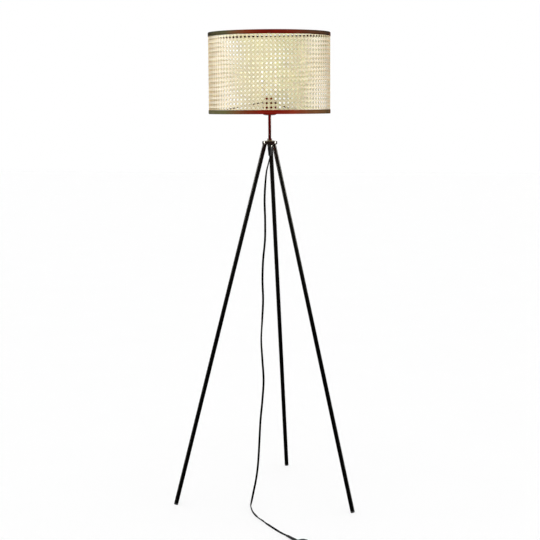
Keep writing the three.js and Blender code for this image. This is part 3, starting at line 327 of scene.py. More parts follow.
def tape_material():
    """The rims' ribbed binding, with a paler middle, and painted glow of the bulb's red light in front that
    turns to painted olive sheen at the sides.
    """
    made = Nodes("rim_tape")
    ribs = made.wave(made.turn(), TAPE_RIBS)
    grain = made.noise(500, detail=3)
    patches = made.noise(22, detail=3)
    height = made.height()
    away = [made.math("ABSOLUTE", made.math("SUBTRACT", height, middle * MM)) for middle in TAPE_MIDDLES]
    middle = made.range(made.math("MINIMUM", *away), 1, 0, (0.0008, 0.0026))
    # The painted glow and sheen run round from the side that faces the camera.
    from_front = made.math("FRACT", made.math("ADD", made.turn(), -TAPE_FRONT / TAU))
    runs = []
    for stops in (TAPE_LOW, TAPE_HIGH):
        runs.append(made.ramp(from_front, *[(0.5 + angle / 360, colour) for angle, colour in stops]))
    run = made.blend(made.range(height, 0, 1, (1.4, 1.41)), *runs)
    tone = made.blend(made.range(patches, 0, 0.35, (0.3, 0.7)), run, grey(0), "MULTIPLY")
    pale = made.blend(made.math("MULTIPLY", middle, 0.5), tone, TAPE_PALE, "ADD")
    weave = made.blend(made.range(ribs, 0, 0.25), pale, grey(0), "MULTIPLY")
    around = made.place(shift=(-AXIS.x, -AXIS.y, 0))
    flat = made.node("ShaderNodeVectorMath", {0: around, 1: (1, 1, 0)}, operation="MULTIPLY")
    reach = made.node("ShaderNodeVectorMath", {0: flat}, operation="LENGTH").outputs["Value"]
    lined = made.blend(made.range(reach, 1, 0, (0.196, 0.198)), weave, TAPE_INSIDE)
    made.set(Base_Color=lined, Roughness=made.range(grain, 0.55, 0.75), Specular_IOR_Level=0.004)
    relief = made.math("ADD", ribs, made.math("MULTIPLY", grain, 0.5))
    made.set(Normal=made.bump(relief, 0.00012))
    return made.block


def globe_material():
    """A frosted bulb that is lit from inside, brightest over its upper part."""
    made = Nodes("bulb_frosted")
    frost = made.noise(900, detail=2)
    lit = made.range(made.height(), 0.35, 0.45, (1.385, 1.41))
    tone = made.ramp(frost, (0.3, (0.62, 0.6, 0.54, 1)), (0.7, (0.68, 0.66, 0.6, 1)))
    made.set(Base_Color=tone, Roughness=made.range(frost, 0.3, 0.4), Normal=made.bump(frost, 0.00001))
    made.set(Emission_Color=(1.0, 0.95, 0.85, 1), Emission_Strength=lit)
    return made.block


def rubber_material(name, colour):
    made = Nodes(name)
    drift = made.noise(90, detail=4)
    fine = made.noise(1800, detail=3)
    tone = made.ramp(drift, (0.35, shade_of(colour, 0.7)), (0.65, colour))
    made.set(Base_Color=tone, Roughness=made.range(fine, 0.6, 0.8), Specular_IOR_Level=0.2)
    made.set(Normal=made.bump(fine, 0.00006))
    return made.block


def strap_material():
    """A woven strap with a fuzzy face, darker where its weave sinks: partly the threads' own tone, partly
    painted shade.
    """
    made = Nodes("strap_woven")
    threads = made.noise(1500, detail=4, roughness=0.7)
    weave = made.node("ShaderNodeTexWave", {"Vector": made.place(), "Scale": 260.0, "Distortion": 1.5})
    relief = made.math("ADD", threads, made.math("MULTIPLY", weave.outputs["Fac"], 0.6))
    # Darker in the weave's hollows: partly the threads' own tone, partly painted shade.
    tone = made.ramp(relief, (0.4, (0.006, 0.006, 0.007, 1)), (1.2, (0.03, 0.03, 0.032, 1)))
    made.set(Base_Color=tone, Roughness=made.range(threads, 0.75, 0.95), Specular_IOR_Level=0.2)
    made.set(Normal=made.bump(relief, 0.0001), Sheen_Weight=0.3, Sheen_Roughness=0.6)
    return made.block


# Painted glow of the bulb's red light on black paint, near the shade and farther from it.
GLOW_RED_NEAR = (0.15, 0.001, 0.001, 1)
GLOW_RED_FAR = (0.05, 0.0008, 0.0008, 1)
BLACK = (0.0014, 0.0013, 0.0013, 1)
HUB_GLOW_BLACK = (0.008, 0.0009, 0.0009, 1)

# How the paints' colours run: height in millimetres, and colour. Their red is painted glow of the bulb's
# light, brighter towards the shade.
STEM_RUN = [(1195, GLOW_RED_FAR), (1215, GLOW_RED_FAR), (1275, GLOW_RED_NEAR), (1290, GLOW_RED_NEAR)]
CUP_RUN = [(1279, (0.11, 0.004, 0.0035, 1)), (1320, (0.14, 0.006, 0.004, 1))]
# The hub's pale olive top is a painted highlight from the light above.
HUB_RUN = [(1184, HUB_GLOW_BLACK), (1195, HUB_GLOW_BLACK), (1197, (0.22, 0.2, 0.11, 1))]
COLLAR_RUN = [(1198, GLOW_RED_FAR), (1205, (0.08, 0.002, 0.002, 1))]
LEG_RUN = [(0, BLACK), (1100, BLACK), (1184, (0.006, 0.0008, 0.0006, 1))]
WIRE_RUN = [(1285, (0.05, 0.006, 0.004, 1)), (1545, (0.03, 0.006, 0.004, 1))]
NUT_RUN = [(1170, BLACK), (1190, shade_of(BLACK, 1.5))]

MATERIALS = {
    "cane": cane_material("cane_split", CANE_COLOUR, CANE_THROUGH),
    "binder": cane_material("cane_binder", BINDER_COLOUR_AND_SHADE, BINDER_THROUGH),
    "tape": tape_material(),
    "globe": globe_material(),
    "stem": painted("stem_paint", STEM_RUN, 0.1, 0.12, 0.01),
    "cup": painted("cup_paint", CUP_RUN, 0.12, 0.16, 0.1),
    "hub": painted("hub_paint", HUB_RUN, 0.12, 0.16, 0.11),
    "collar": painted("collar_paint", COLLAR_RUN, 0.2, 0.28, 0.03),
    "leg": painted("leg_paint", LEG_RUN, 0.16, 0.2, 0.004, top_gloss=0.05),
    "wire": painted("wire_paint", WIRE_RUN, 0.35, 0.5, 0.05),
    "nut": painted("nut_black", NUT_RUN, 0.3, 0.45, 0.4),
    "foot": rubber_material("foot_rubber", (0.008, 0.008, 0.008, 1)),
    "plastic": moulded("plastic_satin", (0.006, 0.006, 0.006, 1), 0.4, 0.52, gloss=0.06),
    "gloss": moulded("plastic_gloss", (0.008, 0.008, 0.008, 1), 0.2, 0.3, 0.00001, coat=0.3),
    # The lampholder's red is painted glow of the bulb's light on black plastic.
    "holder": moulded("holder_plastic", (0.2, 0.008, 0.005, 1), 0.35, 0.5, 0.00003, gloss=0.06),
    "sheath": moulded("cord_sheath", (0.002, 0.002, 0.002, 1), 0.7, 0.8, 0.00003, gloss=0.003),
    "strap": strap_material(),
    "white": moulded("white_plastic", (0.88, 0.87, 0.84, 1), 0.35, 0.5, 0.00002),
    # The bulb's plastic housing gets a painted glow, as if lit from inside.
    "housing": moulded("housing_plastic_painted_glow", (0.9, 0.88, 0.82, 1), 0.35, 0.5, 0.00002, lit=0.35),
    "ceramic": moulded("ceramic_white", (0.86, 0.84, 0.79, 1), 0.4, 0.6, 0.00006),
    "nickel": plated("nickel_plate", (0.7, 0.69, 0.66, 1), 0.16, 0.3),
    "steel": plated("plain_steel", (0.52, 0.52, 0.52, 1), 0.25, 0.42),
    "brass": plated("plain_brass", (0.78, 0.57, 0.25, 1), 0.18, 0.32),
    "brown": moulded("core_brown", (0.15, 0.06, 0.025, 1), 0.35, 0.5, 0.00002),
    "blue": moulded("core_blue", (0.03, 0.08, 0.27, 1), 0.35, 0.5, 0.00002),
}


# Forms: a form is a pair of lists, its points as vectors in millimetres and its faces.
def joined(*forms):
    points, faces = [], []
    for more, sides in forms:
        start = len(points)
        points += more
        faces += [[start + i for i in side] for side in sides]
    return points, faces


def moved(form, matrix):
    points, faces = form
    return [matrix @ point for point in points], faces


def lofted(rings, closed=False, capped=True):
    """Rings with the same number of points, joined one to the next. closed joins the last to the first."""
    count = len(rings[0])
    points = [point for ring in rings for point in ring]
    faces = []
    for k in range(len(rings) if closed else len(rings) - 1):
        low = k * count
        high = (k + 1) % len(rings) * count
        for i in range(count):
            j = (i + 1) % count
            faces.append([low + i, low + j, high + j, high + i])
    if capped and not closed:
        faces.append(list(range(count))[::-1])
        faces.append([(len(rings) - 1) * count + i for i in range(count)])
    return points, faces


def held(profile, reach=12, margin=0.8):
    """The profile with extra points near the ends of long sides, where they hold the shading straight."""
    made = []
    for here, there in zip(profile, profile[1:] + profile[:1]):
        made.append(here)
        length = math.dist(here, there)
        if length > reach:
            for share in (margin / length, 1 - margin / length):
                made.append(tuple(a + (b - a) * share for a, b in zip(here, there)))
    return made


def turned(profile, sides=96):
    """A profile of (radius, height) turned round Z. One that stays off the axis is closed on itself."""
    points, rows = [], []
    for radius, height in profile:
        if radius < 1e-6:
            rows.append([len(points)] * sides)
            points.append(upward(height))
            continue
        rows.append(list(range(len(points), len(points) + sides)))
        for i in range(sides):
            points.append(heading_of(TAU * i / sides) * radius + upward(height))
    if profile[0][0] > 1e-6 and profile[-1][0] > 1e-6:
        rows.append(rows[0])
    faces = []
    for low, high in zip(rows, rows[1:]):
        for i in range(sides):
            j = (i + 1) % sides
            side = list(dict.fromkeys([low[i], low[j], high[j], high[i]]))
            if len(side) > 2:
                faces.append(side)
    return points, faces


def soften(profile, radius, steps=4):
    """Rounds a profile's corners. Ends that lie on the axis stay, and so do nearly straight corners."""
    closed = profile[0][0] > 1e-6 and profile[-1][0] > 1e-6
    corners = [Vector(p) for p in profile]
    count = len(corners)
    made = []
    for i, here in enumerate(corners):
        if not closed and i in (0, count - 1):
            made.append(tuple(here))
            continue
        before = corners[i - 1] - here
        after = corners[(i + 1) % count] - here
        if before.length < 1e-6 or after.length < 1e-6 or before.angle(after) > math.radians(150):
            made.append(tuple(here))
            continue
        reach = min(radius, before.length * 0.45, after.length * 0.45)
        start = here + before.normalized() * reach
        end = here + after.normalized() * reach
        for k in range(steps + 1):
            t = k / steps
            made.append(tuple(start * (1 - t) ** 2 + here * 2 * t * (1 - t) + end * t**2))
    return made


def arc(x, y, radius, start, end, steps=8):
    """Points of a round corner about (x, y), between two angles in degrees."""
    angles = [math.radians(start + (end - start) * i / steps) for i in range(steps + 1)]
    return [(x + radius * math.cos(a), y + radius * math.sin(a)) for a in angles]


def swept(line, section, closed=False):
    """A section carried along a line of (point, across, up), where a section is a list of (across, up)."""
    rings = [[point + across * x + up * y for x, y in section] for point, across, up in line]
    return lofted(rings, closed)


def round_section(radius, sides=16):
    return [(radius * math.cos(TAU * i / sides), radius * math.sin(TAU * i / sides)) for i in range(sides)]


def wire_ring(radius, height, thickness, sides=240):
    line = []
    for i in range(sides):
        angle = TAU * i / sides
        out = heading_of(angle)
        line.append((out * radius + upward(height), out, upward(1)))
    return swept(line, round_section(thickness / 2), closed=True)


def rod(start, end, radius, sides=16):
    start, end = Vector(start), Vector(end)
    along = (end - start).normalized()
    across = along.orthogonal().normalized()
    up = along.cross(across)
    return swept([(start, across, up), (end, across, up)], round_section(radius, sides))


def ball(centre, size, sides=20):
    """A rounded blob, such as a spot of weld, size being its half widths."""
    form = turned([(0, -1), *arc(0, 0, 1, -75, 75, 8), (0, 1)], sides)
    return moved(form, Matrix.Translation(Vector(centre)) @ Matrix.Diagonal((*size, 1)))


# Pieces
def add_object(name, mesh, material):
    made = bpy.data.objects.new(name, mesh)
    bpy.context.scene.collection.objects.link(made)
    mesh.materials.append(material)
    return made


def smooth(mesh, sharp):
    mesh.polygons.foreach_set("use_smooth", [True] * len(mesh.polygons))
    mesh.set_sharp_from_angle(angle=math.radians(sharp))


def mesh_from(name, form, sharp=35):
    points, faces = form
    mesh = bpy.data.meshes.new(name)
    mesh.from_pydata([tuple(at_axis(p)) for p in points], [], faces)
    build = bmesh.new()
    build.from_mesh(mesh)
    bmesh.ops.recalc_face_normals(build, faces=build.faces)
    build.to_mesh(mesh)
    build.free()
    smooth(mesh, sharp)
    return mesh


def carve(made, cutters, sharp):
    """Cuts forms out of a piece and keeps the result as its mesh."""
    tools = [add_object("cutter", mesh_from("cutter", form), MATERIALS["steel"]) for form in cutters]
    for tool in tools:
        cut = made.modifiers.new("cut", "BOOLEAN")
        cut.operation, cut.solver, cut.object = "DIFFERENCE", "EXACT", tool
    bpy.context.view_layer.update()
    whole = bpy.data.meshes.new_from_object(made.evaluated_get(bpy.context.evaluated_depsgraph_get()))
    made.modifiers.clear()
    made.data = whole
    for tool in tools:
        bpy.data.objects.remove(tool)
    while len(whole.materials) > 1:
        whole.materials.pop()
    smooth(whole, sharp)


def settle(made, material, *replaced, body="lamp"):
    """Ties a piece to its body and hides the CAD nodes that it stands for. material is not used."""
    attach(made, body)
    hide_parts(*replaced)
    return made


def piece(name, form, material, *replaced, body="lamp", sharp=35, carved=()):
    made = add_object(name, mesh_from(name, form, sharp), MATERIALS[material])
    if carved:
        carve(made, carved, sharp)
    return settle(made, material, *replaced, body=body)


def dress(material, *nodes):
    """Gives CAD nodes that stay a finer material."""
    for name in nodes:
        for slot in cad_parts[name].material_slots:
            slot.material = MATERIALS[material]


# Cord
def smooth_line(corners, step):
    """A centripetal spline through the corners, as the source draws it, in steps of about that length."""
    line = [Vector(c) for c in corners]
    made = []
    for i in range(len(line) - 1):
        p1, p2 = line[i], line[i + 1]
        p0 = line[i - 1] if i else p1 * 2 - p2
        p3 = line[i + 2] if i + 2 < len(line) else p2 * 2 - p1
        d0, d1, d2 = [max((b - a).length, 1e-3) ** 0.5 for a, b in ((p0, p1), (p1, p2), (p2, p3))]
        t1 = ((p1 - p0) / d0 - (p2 - p0) / (d0 + d1) + (p2 - p1) / d1) * d1
        t2 = ((p2 - p1) / d1 - (p3 - p1) / (d1 + d2) + (p3 - p2) / d2) * d1
        count = max(1, round((p2 - p1).length / step))
        for k in range(count):
            t = k / count
            cubic = (p1 - p2) * 2 + t1 + t2
            square = (p2 - p1) * 3 - t1 * 2 - t2
            made.append(p1 + t1 * t + square * t**2 + cubic * t**3)
    return made + [line[-1]]


def between(stops, value):
    """The value at a place on a run of (place, value) stops, joined by straight lines."""
    for (x0, y0), (x1, y1) in zip(stops, stops[1:]):
        if value <= x1:
            return y0 + (y1 - y0) * clamped((value - x0) / (x1 - x0))
    return stops[-1][1]


CORD_WIDTH = 7
CORD_THICKNESS = 3.4
CORD_GROOVE = 1.15  # half of what is left between its two cores
CORE_SWEEP = 118  # degrees that each core's skin goes round to either side


def twin_section():
    """Two round cores side by side under one skin, with a groove between them."""
    radius = CORD_THICKNESS / 2
    right = arc(CORD_WIDTH / 2 - radius, 0, radius, -CORE_SWEEP, CORE_SWEEP, 10)
    left = [(-x, -y) for x, y in right]
    return right + [(0.0, CORD_GROOVE)] + left + [(0.0, -CORD_GROOVE)]


def carried(line, section, across_at):
    """A section along a line. across_at gives the direction of its width at a place on the line."""
    frames = []
    for i, point in enumerate(line):
        along = (line[min(i + 1, len(line) - 1)] - line[max(i - 1, 0)]).normalized()
        across = across_at(i, along)
        across = (across - along * across.dot(along)).normalized()
        frames.append((point, across, across.cross(along).normalized()))
    return swept(frames, section)


GRIP_MOUTH = 1147.7
LEAD_ROUTE = [
    (0, 0, 1142), (-1.4, -0.2, 1137), (-4.6, -1.4, 1122), (-9.9, -3.7, 1100), (-14.2, -5.4, 1061),
    (-17.0, -7.9, 1002), (-15.4, -9.6, 936), (-16.0, -11.5, 869), (-22.0, -15.0, 803), (-24.2, -17.2, 736),
    (-22.2, -19.6, 669), (-25.2, -22.4, 602), (-28.2, -26.2, 535), (-24.4, -28.3, 467), (-20.4, -30.4, 400),
    (-24.2, -34.3, 332), (-30.2, -39.5, 264), (-33.5, -44.1, 196), (-35.8, -48.4, 146), (-38.8, -53.0, 102),
    (-43.5, -61.5, 62), (-47.8, -76.0, 33), (-49.4, -98.0, 13.5), (-48.3, -126.0, 4.2), (-44.7, -155.3, 0),
    (-34.1, -195.8, 0), (-27.5, -215.5, 0), (-19.4, -234.9, 0), (-7.6, -257.4, 0), (6.3, -279.4, 0),
    (21.6, -301.5, 0), (43.2, -331.9, 0), (66.0, -363.0, 0), (86.0, -390.0, 2.2), (104.6, -414.6, 3.4),
]
# How the hanging cord is twisted: height, and degrees from lying across the view.
LEAD_TWIST = [
    (20, 205), (105, 192), (165, 180), (450, 180), (480, 200), (508, 216), (548, 230), (568, 234),
    (605, 206), (640, 180), (810, 180), (849, 154), (890, 176), (1002, 180), (1040, 160), (1140, 90),
]
# How far it stands up on its edge along the floor: distance from the axis, and degrees.
LEAD_EDGE = [
    (100, 20), (126, 55), (155, 82), (236, 84), (256, 86), (270, 40), (280, 30), (296, 60), (306, 62),
    (318, 20), (334, -14), (400, -10), (430, 0),
]
ROUTE_FLOOR = 2.0  # the least height of the route's points
CORD_STEP = 3  # between points along a cord
TURN_OVER = 60  # height under which the hanging cord turns to the way it lies
END_GAP = 0.3  # between a cord's end and the fitting that holds it
SWITCH_PLACE = Vector((118.5, -431.2, 0))
SWITCH_TURN = math.radians(-50)
SWITCH_AXIS = 4.6


def add_lead():
    tip = SWITCH_PLACE - heading_of(SWITCH_TURN) * END_GAP + upward(SWITCH_AXIS)
    route = [Vector((x, y, max(z, ROUTE_FLOOR))) for x, y, z in LEAD_ROUTE]
    line = smooth_line([upward(GRIP_MOUTH - END_GAP), *route, tip], CORD_STEP)
    right = heading_of(CAMERA_TURN)
    away = heading_of(CAMERA_TURN + math.pi / 2)
    laid = []
    for point in line:
        edge = math.radians(between(LEAD_EDGE, point.xy.length)) if point.z < 40 else 0
        lift = 1.8 * abs(math.sin(edge)) + 1.75
        laid.append(Vector((point.x, point.y, max(point.z, lift))))

    def across_at(i, along):
        point = line[i]
        twist = math.radians(between(LEAD_TWIST, point.z))
        hanging = right * math.cos(twist) + away * math.sin(twist)
        if point.z > TURN_OVER:
            return hanging
        side = along.cross(upward(1)).normalized()
        edge = math.radians(between(LEAD_EDGE, point.xy.length))
        lying = side * math.cos(edge) + upward(1) * math.sin(edge)
        share = clamped((TURN_OVER - point.z) / 50)
        return hanging * (1 - share) + lying * share

    made = piece("lead", carried(laid, twin_section(), across_at), "sheath", "cord_lead", sharp=50)
    return made, laid


# Foot switch, laid along X from the nose's tip
NOSE_LENGTH = 58
TAIL_LENGTH = 40
PART_GAP = 0.3
SWITCH_HALF = 42  # half its length, as the next two are half its width
SWITCH_SIDE = 17
SWITCH_END = 7.5
SWITCH_TOP = 16
SWITCH_CREST = 15  # half the length over which it is that high
SPLIT_LOW, SPLIT_HIGH = 7.45, 7.75  # the base's upper edge and the cover's lower one
SCREW_PLACES = (-27, 27)
SWITCH_MIDDLE = NOSE_LENGTH + PART_GAP + SWITCH_HALF
SWITCH_ROOT = SWITCH_MIDDLE + SWITCH_HALF + PART_GAP


def in_switch(form, x=0.0):
    place = Matrix.Translation(SWITCH_PLACE) @ Matrix.Rotation(SWITCH_TURN, 4, "Z")
    return moved(form, place @ Matrix.Translation((x, 0, 0)))


def relief_form(tip_at, root_at):
    """A flattened round relief that widens from its tip to its root, with five grooves round it."""
    rings = []
    steps = 120
    for k in range(steps + 1):
        share = k / steps
        off = min(abs(share * 8 - i) for i in range(1, 6)) / 0.3
        groove = math.cos(off * math.pi / 2) ** 0.7 if off < 1 else 0
        radius = 5 + 2.2 * share - 0.7 * groove
        if k in (0, steps):
            radius -= 0.5
        x = tip_at + (root_at - tip_at) * share
        rings.append([Vector((x, y, SWITCH_AXIS + z * 0.58)) for y, z in round_section(radius, 32)])
    return lofted(rings)


def bezier(points, t):
    """A place on the cubic curve of four points."""
    p0, p1, p2, p3 = [Vector(p) for p in points]
    u = 1 - t
    return p0 * u**3 + p1 * 3 * u * u * t + p2 * 3 * u * t * t + p3 * t**3


def switch_half(upper):
    """One half of the switch's shell, as sections across it from end to end."""
    plan = [(SWITCH_HALF, SWITCH_END), (21, SWITCH_SIDE), (21, SWITCH_SIDE), (0, SWITCH_SIDE)]
    crown = [(SWITCH_HALF, 9.2), (28, 14.2), (21, SWITCH_TOP), (SWITCH_CREST, SWITCH_TOP)]
    rings = []
    count = 28
    for k in range(-count, count + 1):
        outline = bezier(plan, 1 - abs(k) / count)
        x = math.copysign(outline.x, k)
        half = outline.y
        top = bezier(crown, clamped((SWITCH_HALF - abs(x)) / (SWITCH_HALF - SWITCH_CREST))).y
        if abs(k) == count:
            half -= 0.5
            top -= 0.4
        if upper:
            radius = 3.2
            bend = arc(half - radius, top - radius, radius, 0, 90, 8)
            right = [(half, SPLIT_HIGH), *bend, (half * 0.5, top), (half * 0.2, top)]
        else:
            radius = 0.8
            bend = arc(half - radius, radius, radius, 0, -90, 4)
            right = [(half, SPLIT_LOW), (half, 4.0), *bend, (half * 0.5, 0.0)]
        ring = right + [(-y, z) for y, z in reversed(right)]
        rings.append([Vector((x, y, z)) for y, z in ring])
    return lofted(rings)


def column(radius, low, high, x=0.0):
    form = turned([(0, low), (radius, low), (radius, high), (0, high)], 48)
    return moved(form, Matrix.Translation((x, 0, 0)))


def add_switch():
    cover_cuts = [column(12.4, 7, 14.2), column(10.5, 7, 20)]
    base_cuts = [column(12.4, 1.8, 9)]
    for x in SCREW_PLACES:
        cover_cuts.append(column(1.5, 7, 11.45, x))
        base_cuts += [column(1.5, -2, 9, x), column(2.8, -2, 1.8, x)]
    flange = [(0, 10.1), (4.6, 10.1), (4.6, 12.3), (11.6, 12.3), (11.6, 13.9), (10, 13.9)]
    dish = [(7.6, 19.9), (7.1, 19.5), (6.6, 19.5), (6.1, 19.75), (0, 19.55)]
    knob = turned([*flange, (10, 18.0), *arc(8.2, 18.2, 1.8, 0, 90, 6), *dish], 64)
    near = piece("relief_near", in_switch(relief_form(0, NOSE_LENGTH)), "plastic", "switch_nose", sharp=60)
    back = in_switch(relief_form(SWITCH_ROOT + TAIL_LENGTH, SWITCH_ROOT))
    far = piece("relief_far", back, "plastic", "switch_tail", sharp=60)
    for name, node, upper, cuts in (
        ("switch_top", "switch_cover", True, cover_cuts),
        ("switch_bottom", "switch_base", False, base_cuts),
    ):
        cuts = [in_switch(cut, SWITCH_MIDDLE) for cut in cuts]
        piece(name, in_switch(switch_half(upper), SWITCH_MIDDLE), "plastic", node, sharp=40, carved=cuts)
    button = in_switch(knob, SWITCH_MIDDLE)
    piece("switch_knob", button, "gloss", "switch_button", body="foot_button", sharp=40)
    dress("steel", "switch_spring", "switch_screw_1", "switch_screw_2")
    dress("white", "switch_block")
    return near, far


# Tail, coil and plug
def walk(point, heading, distance):
    return point + heading_of(heading) * distance


COIL_RADIUS = 41.5
COIL_STEP = 5.3  # from one turn to the next
COIL_TURNS = 4  # in two layers, inwards below and outwards above
COIL_LOW = 4.7
COIL_RISE = 8.6  # from the lower layer to the upper one
COIL_CLIMB = 0.5  # turns that the rise takes
BEND_RADIUS = 30
BEND_TURN = math.radians(120)
PLUG_AXIS = 7.15


def coil_at(turns):
    """The coil's radius and height after so many turns."""
    middle = COIL_TURNS / 2
    climbed = eased((turns - middle) / COIL_CLIMB + 0.5)
    return COIL_RADIUS - COIL_STEP * (middle - abs(turns - middle)), COIL_LOW + COIL_RISE * climbed


def stored_line():
    """The route from the switch through the coil to the plug, and the coil's centre and heading."""
    quarter = math.pi / 2
    start = walk(SWITCH_PLACE, SWITCH_TURN, SWITCH_ROOT + TAIL_LENGTH + END_GAP)
    bend = walk(walk(start, SWITCH_TURN, 12), SWITCH_TURN - quarter, BEND_RADIUS)
    heading = SWITCH_TURN - BEND_TURN
    straight = 42
    entry = walk(walk(bend, heading + quarter, BEND_RADIUS), heading, straight)
    centre = walk(entry, heading - quarter, COIL_RADIUS)
    low = upward(COIL_LOW)
    corners = [start + upward(SWITCH_AXIS)]
    corners += [walk(bend, SWITCH_TURN - BEND_TURN * i / 8 + quarter, BEND_RADIUS) + low for i in range(9)]
    corners += [walk(entry, heading, -21.3) + low, walk(entry, heading, -0.3) + low]
    line = smooth_line(corners, CORD_STEP)[:-1]
    tail_count = len(line)
    steps = COIL_TURNS * 72
    for i in range(steps + 1):
        turns = COIL_TURNS * i / steps
        radius, height = coil_at(turns)
        line.append(walk(centre, heading + quarter - turns * TAU, radius) + upward(height))
    leave = line[-1].copy()
    leave_steps = 16
    for i in range(1, leave_steps + 1):
        share = i / leave_steps
        line.append(walk(leave, heading, 50 * share) + upward((PLUG_AXIS - leave.z) * eased(share / 0.8)))
    return line, tail_count, centre, heading


def tie_form(centre, heading):
    """A band closed round the coil's turns at one place, 0.6 thick and 8 wide."""
    spare = CORD_THICKNESS / 2 + 0.7
    left, right = coil_at(COIL_TURNS / 2)[0] - spare, COIL_RADIUS + spare
    floor, ceiling = 0.75, COIL_LOW + COIL_RISE + CORD_WIDTH / 2 + 0.7
    reach = 1.6
    line = []
    for x, z, angle in ((right, floor, -90), (right, ceiling, 0), (left, ceiling, 90), (left, floor, 180)):
        inset_x = x - reach if x == right else x + reach
        inset_z = z + reach if z == floor else z - reach
        line += arc(inset_x, inset_z, reach, angle, angle + 90, 8)
    rings = []
    section = [(0.0, -4.0), (0.45, -4.0), (0.6, -3.7), (0.6, 3.7), (0.45, 4.0), (0.0, 4.0)]
    for i, (x, z) in enumerate(line):
        run = (Vector(line[(i + 1) % len(line)]) - Vector(line[i - 1])).normalized()
        rings.append([Vector((x + run.y * g, y, z - run.x * g)) for g, y in section])
    place = Matrix.Translation(centre) @ Matrix.Rotation(heading - math.pi / 2, 4, "Z")
    return moved(lofted(rings, closed=True), place)


def superellipse(a, b, power, sides=48):
    def bowed(value):
        return math.copysign(abs(value) ** (2 / power), value)

    return [(a * bowed(x), b * bowed(y)) for x, y in round_section(1, sides)]


BOOT_LENGTH = 26
BOOT_RADIUS = 6.2  # where it meets the body
PLUG_LENGTH = 62
PLUG_SIDE = 17.65  # half the body's width
PLUG_HALF = 6.85  # half its thickness


def plug_form():
    """The plug's boot and body, as sections along it: a ribbed round boot that grows into a flat body."""
    rings = []
    boot_stations = [0.8 + 0.4 * i for i in range(63)]
    body_stations = [26.5 + 0.5 * i for i in range(71)]
    for x in (0.0, 0.4, *boot_stations, *body_stations, 61.8, PLUG_LENGTH):
        if x <= BOOT_LENGTH:
            a = b = 5 + 1.2 * x / BOOT_LENGTH
            power = 2.0
            off = (x - 3) % 4.4
            if 2 < x < 24 and off < 1.6:
                dip = 0.6 * math.sin(math.pi * off / 1.6)
                a, b = a - dip, b - dip
        else:
            grown = min(1, (x - BOOT_LENGTH) / 3)
            b = BOOT_RADIUS + (PLUG_HALF - BOOT_RADIUS) * grown
            if x < 38:
                a = BOOT_RADIUS + 0.3 * grown + 0.9 * ((x - BOOT_LENGTH) / 12) ** 2
            else:
                a = 7.4 + (PLUG_SIDE - 7.4) * eased((x - 38) / 6)
            power = 2.0 + 3.5 * min(1, (x - BOOT_LENGTH) / 16)
            if 47 < x < 57:
                b -= 0.35 * max(0, math.sin(TAU * (x - 47) / 2.5))
        inset = {0.0: 0.5, 61.8: 0.15, PLUG_LENGTH: 0.5}.get(x, 0)
        rings.append([Vector((x, y, z)) for y, z in superellipse(a - inset, b - inset, power)])
    return lofted(rings)


def pin_form(side):
    sleeve = [(0, 57.0), (1.9, 57.0), (1.9, 70.5), (2.0, 70.9), (2.0, 79.8)]
    form = turned([*sleeve, *arc(1.1, 80.1, 0.9, 0, 90, 5), (0, 81)], 40)
    return moved(form, Matrix.Translation((0, side * 9.3, 0)) @ Matrix.Rotation(math.pi / 2, 4, "Y"))


def add_store():
    line, tail_count, centre, heading = stored_line()

    def across_at(i, along):
        side = along.cross(upward(1)).normalized()
        stand = eased((i - 3) / (tail_count - 8)) * math.pi / 2
        return side * math.cos(stand) + upward(1) * math.sin(stand)

    form = carried(line, twin_section(), across_at)
    made = piece("stored_cord", form, "sheath", "cord_tail", "cord_coil", sharp=50)
    tie = piece("coil_strap", tie_form(centre, heading), "strap", "cord_tie", sharp=30)
    place = Matrix.Translation(walk(line[-1], heading, END_GAP)) @ Matrix.Rotation(heading, 4, "Z")
    body = piece("plug_shell", moved(plug_form(), place), "plastic", "plug_body", sharp=50)
    for number, side in ((1, -1), (2, 1)):
        form = moved(pin_form(side), place)
        piece(f"pin_{number}", form, "brass", f"plug_pin_{number}", sharp=30)


lead, lead_line = add_lead()
switch_near, switch_far = add_switch()
add_store()


# Shade
WIRE = 4
WIRE_REACH = 194.7  # radius of the two rings
WIRE_INSET = 3.2  # from a rim to the middle of its ring
ARM_TURNS = [math.radians(69.4 + 120 * i) for i in range(3)]

CANE_RADIUS = 197.7
CANE_LOW, CANE_HIGH = 1286.3, 1545.7
CANE_PITCH = 13.8
CANE_COLUMNS = 90
CANE_TURN = CAMERA_TURN - math.pi / 2 + math.radians(1.5)  # the first column of holes
CANE_FIRST_ROW = 1526.4  # the top row of holes
CANE_SKEW = 3.5  # how far the rows rise and fall round the drum
STRAND_WIDTH = 2.8
STRAND_THICKNESS = 0.6
PAIR_SPREAD = 1.75
PUSH = 0.45  # how far a strand moves out or in where it crosses
DIAGONAL_SWING = 0.88  # how far the diagonals do
TURN_SPREAD = 0.0004  # how unevenly the strands stand round the drum, in radians


def inner_face_painted_light(point):
    """The mark of a strand's inner face for its painted light and shade: 0.5, painted shade, at the drum's
    two sides as the camera sees them, and 0.3, painted light, at its front and back.
    """
    across = abs(math.sin(math.atan2(point.y, point.x) - CAMERA_TURN))
    return 0.5 - 0.2 * max(0, 3.5 * across - 2.5)


